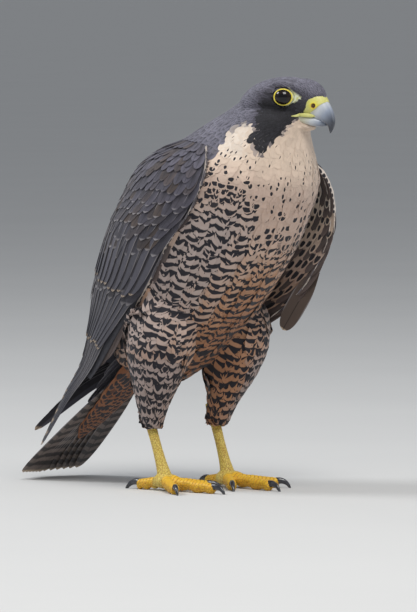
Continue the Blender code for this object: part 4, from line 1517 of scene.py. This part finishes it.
# %% Eyes
EYE_SQUINT = math.radians(65)
IRIS_EDGE = math.radians(62)
BALL_RADIUS = 7.9
BALL_OUT = 0.8
LID_RADIUS = 7.0
LID_THICKNESS = 0.62
LID_HEIGHT = 0.89
LID_DEEP = 1.35
LID_OUT = 4.5
LID_SKIRT = [(6.9, 4.3), (8.3, 3.3), (10.2, 0.8), (11.2, -1.5)]
SKIRT_SIDES = 48
IRIS = [
    (0.0, (0.001, 0.001, 0.0015)),
    (0.42, (0.001, 0.001, 0.0015)),
    (0.5, (0.011, 0.005, 0.003)),
    (0.8, (0.007, 0.004, 0.003)),
    (1.0, (0.002, 0.002, 0.002)),
]


def finish_piece(piece, name, finish):
    """Names a modelled piece, smooths it and gives it its finish."""
    piece.name = name
    piece.data.shade_smooth()
    piece.data.materials.clear()
    piece.data.materials.append(finish)
    return settle(piece)


made = Finish("eye", 0.04, Specular_IOR_Level=0.42)
eye_finish = made.paint(made.number("iris").ramp(*IRIS))
made = Finish("bare yellow skin", 0.42, Specular_IOR_Level=0.5)
fleck = made.noise(900.0)
made.bump(fleck, 0.3, 0.0002)
lid_finish = made.paint(fleck.ramp((0.3, (0.80, 0.62, 0.05)), (0.7, (0.90, 0.78, 0.12))))

for label, side in SIDES.items():
    gaze = HEAD_FRAME @ Vector((side * math.sin(EYE_SQUINT), -math.cos(EYE_SQUINT), 0))
    look = gaze.to_track_quat("Z", "Y").to_matrix()
    socket = head_place(EYE_FORWARD, side * EYE_ASIDE, 0)
    centre = socket + gaze * BALL_OUT
    bpy.ops.mesh.primitive_uv_sphere_add(segments=48, ring_count=32, radius=BALL_RADIUS * MM)
    ball = bpy.context.object
    squashed = look @ Matrix.Diagonal((1, LID_HEIGHT, 1))
    ball.data.transform(Matrix.Translation(centre * MM + SHIFT) @ squashed.to_4x4())
    finish_piece(ball, "eyeball_" + label, eye_finish)
    off_axis = (points_of(ball.data) - np.array(centre)) @ np.array(gaze) / BALL_RADIUS
    put_numbers(ball.data, "iris", np.arccos(np.clip(off_axis, -1, 1)) / IRIS_EDGE)
    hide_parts("eye_" + label)
    bpy.ops.mesh.primitive_torus_add(
        major_segments=64, minor_segments=14, major_radius=LID_RADIUS * MM, minor_radius=LID_THICKNESS * MM
    )
    lid = bpy.context.object
    edit_whole(lid, bpy.ops.transform.resize, value=(1.0, LID_HEIGHT, LID_DEEP), center_override=(0, 0, 0))
    lid.data.transform(Matrix.Translation((socket + gaze * LID_OUT) * MM + SHIFT) @ look.to_4x4())
    finish_piece(lid, "lid_" + label, lid_finish)
    wide = look @ LEFTWARD
    high = look @ Vector((0, LID_HEIGHT, 0))
    rings = []
    for radius, out in LID_SKIRT:
        rings.append(ring(socket + gaze * out, wide * radius, high * radius, high * -radius, SKIRT_SIDES))
    spots, faces = loft(rings)
    open_sides = [face for face in faces if len(face) == 4]
    spots = spots[: SKIRT_SIDES * len(rings)]
    skirt = new_piece("lid_skin_" + label, spots, open_sides, skin_finish, "dark_hood")
    mark_skin(skirt.data, points_of(skirt.data))
print("eyes set")

# %% [markdown]
# ## Bill
#
# The bill is lofted through the same stations as the frame's, with many more rings. The cere is
# the yellow skin over its base: a slightly thicker loft, cut along a slanted plane, with the
# nostril pressed into it. A nostril is a round pit with a swollen rim and a small rod in its
# middle, so one radial profile makes all three. The horn beneath runs on to the hooked tip, with
# the tooth that falcons have on the cutting edge.

# %% Bill shapes
# Forwards and up of the ridge, forwards and up of the cutting edge, and half the width.
BILL_STATIONS = [
    (12, 8.6, 9, -12.0, 8.4),
    (19, 9.4, 15.5, -12.3, 8.8),
    (25.2, 8.2, 21, -12.6, 8.0),
    (30.5, 3.0, 26, -13.0, 6.8),
    (36.1, -2.9, 31, -13.6, 5.6),
    (39.4, -9.0, 34, -14.6, 4.3),
    (40.3, -13.5, 36, -15.9, 3.0),
    (40.0, -17.2, 37.2, -18.3, 1.5),
    (39.0, -20.0, 38.4, -20.5, 0.5),
]
LOWER_BILL_STATIONS = [
    (10, -10.0, 10, -18.6, 9.0),
    (18, -10.0, 18, -18.6, 7.8),
    (26, -10.6, 25, -18.0, 6.2),
    (31, -11.6, 30, -16.9, 4.2),
    (34, -14.4, 33.6, -15.8, 1.4),
]
BILL_SQUARENESS = 2.3
CERE_FRONT = (29.5, 0, 2)
CERE_WAY = Vector((0, -0.76, -0.66))
CERE_THICKNESS = 0.35
NOSTRIL = (23.2, 8.6, -1.7)
TOOTH = (0.55, 30.5, 1.3)
NOTCH = (0.5, 33.8, 1.1)


def bulge(size, place):
    """How far the tooth or the notch moves the cutting edge at a place."""
    height, middle, width = size
    return height * math.exp(-(((place - middle) / width) ** 2))


def bill_rings(stations, spans, sides, grow=0.0):
    """Rings of a bill piece through its culmen and cutting edge."""
    rings = []
    for top_f, top_u, low_f, low_u, width in smooth_rows(stations, spans):
        if stations is BILL_STATIONS:
            low_u = low_u - bulge(TOOTH, low_f) + bulge(NOTCH, low_f)
        top = head_place(top_f, 0, top_u)
        bottom = head_place(low_f, 0, low_u)
        middle = (top + bottom) / 2
        side = head_place(0, width + grow, 0) - head_place(0, 0, 0)
        larger = 1 + grow / (top - middle).length
        up = (top - middle) * larger
        rings.append(ring(middle, side, up, (bottom - middle) * larger, sides, BILL_SQUARENESS))
    return rings


def press_nostrils(piece):
    """Pits with a swollen rim and a rod in the middle, on both sides of the cere."""
    spots = points_of(piece.data)
    normals = normals_of(piece.data)
    pit = np.zeros(len(spots))
    glow = np.zeros(len(spots))
    for side in SIDES.values():
        centre = np.array(head_place(NOSTRIL[0], side * NOSTRIL[1], NOSTRIL[2]))
        apart = np.linalg.norm(spots - centre, axis=1)
        swell = np.exp(-((apart / 3.1) ** 2))
        hole = step_up(2.0, 1.35, apart)
        rod = step_up(0.75, 0.3, apart)
        spots = spots + normals * (0.75 * swell - 1.0 * hole + 0.6 * rod)[:, None]
        pit = np.maximum(pit, hole - 0.75 * rod)
        glow = np.maximum(glow, swell)
    move_points(piece.data, spots)
    put_numbers(piece.data, "pit", pit)
    put_numbers(piece.data, "glow", glow)


def bill_piece(name, rings, finish, slot, nodes):
    """One finished piece of the bill with the number that darkens it towards its tip."""
    piece = new_piece(name, *loft(rings), finish, slot)
    forward, _, up = head_places(points_of(piece.data))
    put_numbers(piece.data, "tipwards", step_up(17, 44, forward - 0.45 * (up + 8)))
    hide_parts(*nodes)
    return piece


print("bill stations:", len(BILL_STATIONS))

# %% Bill finishes and pieces
CERE_PALE = [(0.25, (0.60, 0.55, 0.12)), (0.6, (0.66, 0.63, 0.22)), (0.9, (0.66, 0.68, 0.36))]
CERE_BRIGHT = (0.80, 0.66, 0.03)
PIT_SHADE = [(0.0, (1.0, 1.0, 1.0)), (0.25, (0.55, 0.24, 0.03)), (0.8, (0.03, 0.012, 0.004))]
HORN = [
    (0.0, (0.58, 0.57, 0.42)),
    (0.25, (0.56, 0.59, 0.62)),
    (0.58, (0.27, 0.31, 0.39)),
    (1.0, (0.035, 0.04, 0.055)),
]

made = Finish("cere", 0.4, Specular_IOR_Level=0.5, Subsurface_Weight=0.08)
grain = made.noise(500.0)
bright = (made.number("glow") * 1.3).math("MINIMUM", 1.0)
yellow = made.blend(bright, grain.ramp(*CERE_PALE), CERE_BRIGHT)
made.bump(grain, 0.35, 0.0002)
cere_finish = made.paint(made.blend(1.0, yellow, made.number("pit").ramp(*PIT_SHADE), "MULTIPLY"))

made = Finish("bill horn", 0.26, Coat_Weight=0.25, Coat_Roughness=0.2)
streaks = made.noise(300.0, 2.0, (1, 1, 0.25))
made.bump(streaks, 0.2, 0.0002)
horn_finish = made.paint((streaks * 0.12 + (made.number("tipwards") - 0.06)).ramp(*HORN))

bill_piece("bill_hook", bill_rings(BILL_STATIONS, 8, 40), horn_finish, "bill_horn", ["bill_upper"])
lower_rings = bill_rings(LOWER_BILL_STATIONS, 10, 36)
bill_piece("bill_underside", lower_rings, horn_finish, "bill_horn", ["bill_lower"])
cere_rings = bill_rings(BILL_STATIONS[:7], 22, 130, CERE_THICKNESS)
cere = bill_piece("cere_skin", cere_rings, cere_finish, "yellow_skin", ["cere"])
edit_whole(
    cere,
    bpy.ops.mesh.bisect,
    plane_co=head_place(*CERE_FRONT) * MM + SHIFT,
    plane_no=HEAD_FRAME @ CERE_WAY,
    use_fill=True,
    clear_outer=True,
)
press_nostrils(cere)
cere.data.shade_smooth()
print("cere faces:", len(cere.data.polygons))

# %% [markdown]
# From the cere a thin yellow lip runs back along the mouth to its corner under the eye.

# %% The corners of the mouth
# Forwards, aside, up and radius.
LIP_CORNERS = [
    (25.5, 5.4, -9.3, 0.8),
    (21.5, 7.1, -10.0, 1.5),
    (17, 8.5, -10.6, 1.6),
    (12, 10, -12.2, 1.1),
    (7, 12, -14.8, 0.3),
]
LIP_UP = HEAD_FRAME @ Vector((0, 0.35, 1)).normalized()
ON_SKIN_BEHIND = 14

for label, side in SIDES.items():
    rings = []
    for forward, aside, up, radius in smooth_rows(LIP_CORNERS, 6):
        spot = head_place(forward, side * aside, up)
        if forward < ON_SKIN_BEHIND:
            near, normal = skin_at(spot)
            spot = near + normal * 0.35
        across = HEAD_FRAME @ Vector((side * 1.0, 0, 0))
        rings.append(ring(spot, across * radius * 0.5, LIP_UP * radius, -LIP_UP * radius, 16))
    new_piece("lip_" + label, *loft(rings), cere_finish, "yellow_skin")
print("lips:", len(SIDES))

# %% [markdown]
# ## Feet
#
# A falcon's foot is one scaly skin. Shank, hub and toes are therefore lofted apart, joined,
# remeshed at half a millimetre and smoothed, so that they flow together. The scales come after
# that: every point is told how far along its toe it lies and whether it is on top. The toes have
# broad plates on top, which are also pressed into the shape, and all the rest has small scales.

# %% Foot shapes
FOOT_STEP = {"right": 6, "left": -6}
ANKLE = (31, 28, 62)
FOOT_JOINT = (30, 10, 12)
SHANK_WIDTH = 9.8
SHANK_SWELL = [(-0.1, 0.95), (0, 1.0), (0.15, 0.92), (0.5, 0.83), (0.8, 0.95), (1, 1.2), (1.1, 1.0)]
HUB_RADII = (9, 9.5, 6.5)
HUB_DOWN = 4
# Each toe's angle from straight ahead, its length and the length of its claw.
TOES = {"middle": (-4, 52, 18), "inner": (-40, 36, 19), "outer": (34, 42, 16), "hind": (172, 26, 21)}
# Share of the toe, height of its middle and radius.
TOE_PADS = [
    (0.0, 8, 4.6),
    (0.18, 8.5, 4.6),
    (0.34, 6.2, 4.5),
    (0.5, 6.4, 3.8),
    (0.66, 5.0, 4.4),
    (0.82, 5.2, 3.6),
    (0.94, 4.2, 4.1),
    (1.0, 4.4, 2.8),
]
PLATE = 3.2
GROOVE = 0.28
FOOT_GRAIN = 0.0005
FOOT_ROUNDS = 12


def leg_place(label, place):
    """A place of the legs on one side, where that foot stands ahead or behind."""
    return Vector((SIDES[label] * place[0], place[1] + FOOT_STEP[label], place[2]))


def toe_ways(label, toe):
    """Ahead and across for one toe on the floor."""
    angle = math.radians(TOES[toe][0]) * SIDES[label]
    ahead = Vector((math.sin(angle), -math.cos(angle), 0))
    return ahead, Vector((-ahead.y, ahead.x, 0))


def toe_rings(label, toe):
    """Rings of one toe with its pads."""
    ahead, across = toe_ways(label, toe)
    joint = leg_place(label, FOOT_JOINT)
    start = Vector((joint.x, joint.y, 0))
    rings = []
    for share, height, radius in smooth_rows(TOE_PADS, 6):
        centre = start + ahead * TOES[toe][1] * share + UPWARD * height
        pad = UPWARD * -min(radius * 1.2, height + 0.4)
        rings.append(ring(centre, across * radius, UPWARD * radius, pad, 26))
    return rings


def shank_rings(label):
    """Rings of one bare shank."""
    ankle = leg_place(label, ANKLE)
    run = leg_place(label, FOOT_JOINT) - ankle
    front = LEFTWARD.cross(run).normalized()
    rings = []
    for share, swell in smooth_rows(SHANK_SWELL, 5):
        half = SHANK_WIDTH / 2 * swell
        rings.append(ring(ankle + run * share, LEFTWARD * (half * 0.92), front * half, front * -half, 30))
    return rings


def scales(piece, label):
    """Numbers for the scales of a foot: place along the toe in plates, on top, and on a toe."""
    spots = points_of(piece.data)
    normals = normals_of(piece.data)
    joint = leg_place(label, FOOT_JOINT)
    local = spots - np.array([joint.x, joint.y, 6])
    plates = np.zeros(len(spots))
    best = np.full(len(spots), 1e9)
    for toe in TOES:
        ahead, across = toe_ways(label, toe)
        along = local @ np.array(ahead)
        off = np.hypot(local @ np.array(across), local[:, 2]) + 20 * (along < 0)
        plates = np.where(off < best, along / PLATE, plates)
        best = np.minimum(off, best)
    on_toe = step_up(13, 17, plates * PLATE + 6) * step_up(17, 12, spots[:, 2])
    top = step_up(0.15, 0.55, normals[:, 2]) * on_toe
    off_plate = np.abs((plates + 0.5) % 1 - 0.5)
    spots = spots - normals * (GROOVE * top * step_up(0.16, 0.0, off_plate))[:, None]
    spots[:, 2] = np.maximum(spots[:, 2], 0.02)
    move_points(piece.data, spots)
    for name, values in {"plates": plates, "top": top, "on_toe": on_toe}.items():
        put_numbers(piece.data, name, values)


made = Finish("scaly foot", 0.5, Specular_IOR_Level=0.45, Subsurface_Weight=0.06)
cells, to_edge = made.texture("ShaderNodeTexVoronoi", "Distance", Scale=560.0)
cells.feature = "DISTANCE_TO_EDGE"
small = to_edge.fade(0.0, 0.14)
turned = (made.number("plates") + 0.5).math("FRACT")
broad = (turned - 0.5).math("ABSOLUTE").fade(0.02, 0.12)
raised = small + (broad - small) * made.number("top")
fleck = made.noise(350.0)
lemon = fleck.ramp((0.2, (0.62, 0.46, 0.08)), (0.8, (0.74, 0.60, 0.16)))
gold = fleck.ramp((0.2, (0.66, 0.34, 0.015)), (0.8, (0.78, 0.50, 0.035)))
made.bump(raised, 0.7, 0.00035)
yellow = made.blend(made.number("on_toe"), lemon, gold)
foot_finish = made.paint(made.blend(raised * -0.75 + 0.75, yellow, (0.30, 0.12, 0.01)))

# %% Joining each foot
for label in SIDES:
    parts = [new_piece("foot_shank", *loft(shank_rings(label)), foot_finish, "yellow_skin")]
    for toe in TOES:
        parts.append(new_piece("foot_" + toe, *loft(toe_rings(label, toe)), foot_finish, "yellow_skin"))
    hub_place = leg_place(label, FOOT_JOINT) - UPWARD * HUB_DOWN
    hub = add_ball(32, 20, Matrix.Diagonal((*HUB_RADII, 1)), hub_place)
    foot = join(hub, *parts[::-1])
    remesh(foot, FOOT_GRAIN, FOOT_ROUNDS)
    scales(foot, label)
    foot.name = "foot_" + label
    foot.data.shade_smooth()
    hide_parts("shank_" + label, *[f"toe_{toe}_{label}" for toe in TOES])
    print(foot.name, "faces:", len(foot.data.polygons))

# %% [markdown]
# ## Claws
#
# Each claw is a hook of black horn: rings that turn down as they go and shrink to a point.

# %% Claws
CLAW_RADIUS = 3.1
CLAW_POINT = 0.12
CLAW_RISE = 20
CLAW_CURL = 104
CLAW_RINGS = 22
CLAW_SOCKET = 1.8
CLAW_HEIGHT = 5.2

made = Finish("claw horn", 0.24, Coat_Weight=0.3, Coat_Roughness=0.15)
streaks = made.noise(420.0, 3.0, (1, 1, 0.4))
made.bump(streaks, 0.25, 0.0002)
claw_finish = made.paint(streaks.ramp((0.25, (0.012, 0.012, 0.015)), (0.75, (0.055, 0.058, 0.068))))


def claw_rings(label, toe):
    """Rings of one claw from its socket to its point."""
    ahead, across = toe_ways(label, toe)
    joint = leg_place(label, FOOT_JOINT)
    _, length, claw = TOES[toe]
    spot = Vector((joint.x, joint.y, CLAW_HEIGHT)) + ahead * (length - CLAW_SOCKET)
    rings = []
    for share in np.linspace(0, 1, CLAW_RINGS):
        bend = math.radians(CLAW_RISE - CLAW_CURL * share)
        way = ahead * math.cos(bend) + UPWARD * math.sin(bend)
        if share:
            spot = spot + way * claw / (CLAW_RINGS - 1)
        radius = CLAW_RADIUS * (1 - share) ** 0.75 + CLAW_POINT
        facing = across.cross(way) * -1
        rings.append(ring(spot, across * radius * 0.78, facing * radius, facing * radius * -0.85, 18))
    return rings


for label in SIDES:
    for toe in TOES:
        spots, faces = loft(claw_rings(label, toe))
        spots = [Vector((spot[0], spot[1], max(spot[2], 0.05))) for spot in spots]
        claw = new_piece(f"hook_{toe}_{label}", spots, faces, claw_finish, "claw_horn")
        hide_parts(f"claw_{toe}_{label}")
print("claws:", 2 * len(TOES))

# %% [markdown]
# ## Floor, light and camera
#
# A plain pale floor, a big soft light from above and the left, and a long lens that stands where
# the photograph was taken from: 46 degrees round to the bird's right, a little above it.

# %% Floor and light
# Each lamp's place, size, power and colour.
LAMPS = {
    "key": ((-0.9, -1.7, 2.9), 1.6, 82, (1.0, 0.98, 0.95)),
    "fill": ((2.0, -1.4, 1.0), 1.6, 7, (0.93, 0.96, 1.0)),
    "back": ((-1.5, 1.7, 2.3), 1.0, 44, (0.96, 0.98, 1.0)),
}
LIT_PLACE = Vector((0, 0, 0.18))
SKY_COLOUR = (0.86, 0.9, 0.96, 1)
SKY_STRENGTH = 0.38

bpy.ops.mesh.primitive_plane_add(size=400)
floor = bpy.context.object
floor.name = "floor"
made = Finish("pale floor", 0.9)
pale = made.paint(made.noise(3.0).ramp((0.0, (0.58, 0.58, 0.575)), (1.0, (0.62, 0.62, 0.61))))
floor.data.materials.append(pale)

world = bpy.data.worlds.new("studio")
world.use_nodes = True
sky = world.node_tree.nodes["Background"]
sky.inputs["Color"].default_value = SKY_COLOUR
sky.inputs["Strength"].default_value = SKY_STRENGTH
bpy.context.scene.world = world
bpy.context.scene.view_settings.view_transform = "Standard"

for name, (place, size, power, colour) in LAMPS.items():
    bpy.ops.object.light_add(type="AREA", location=place)
    lamp = bpy.context.object
    lamp.name = name
    lamp.data.size = size
    lamp.data.energy = power
    lamp.data.color = colour
    lamp.rotation_euler = (LIT_PLACE - Vector(place)).to_track_quat("-Z", "Y").to_euler()
print("lamps:", len(LAMPS))

# %% The camera
VIEW_AZIMUTH = math.radians(-46)
VIEW_HEIGHT = math.radians(3)
VIEW_DISTANCE = 5.0
PHOTO_SIZE = (417, 612)
MM_PER_PIXEL = 0.8
BIRD_MIDDLE_PIXEL = 205
FLOOR_PIXEL = 490
SENSOR = 36

rightwards = Vector((math.cos(VIEW_AZIMUTH), math.sin(VIEW_AZIMUTH), 0))
ahead = Vector((-math.sin(VIEW_AZIMUTH), math.cos(VIEW_AZIMUTH), 0))
aim = rightwards * (PHOTO_SIZE[0] / 2 - BIRD_MIDDLE_PIXEL) * MM_PER_PIXEL
aim.z = (FLOOR_PIXEL - PHOTO_SIZE[1] / 2) * MM_PER_PIXEL
look = ahead * math.cos(VIEW_HEIGHT) - UPWARD * math.sin(VIEW_HEIGHT)
lens = bpy.data.cameras.new("photo")
lens.sensor_fit = "HORIZONTAL"
lens.sensor_width = SENSOR
lens.lens = SENSOR * VIEW_DISTANCE / (PHOTO_SIZE[0] * MM_PER_PIXEL * MM)
lens.clip_end = 1000
camera = bpy.data.objects.new("photo", lens)
camera.location = aim * MM + SHIFT - look * VIEW_DISTANCE
camera.rotation_euler = look.to_track_quat("-Z", "Y").to_euler()
bpy.context.collection.objects.link(camera)
bpy.context.scene.camera = camera
print("lens in mm:", round(lens.lens))

# %% The frame's box and the end
low, high = cad_box
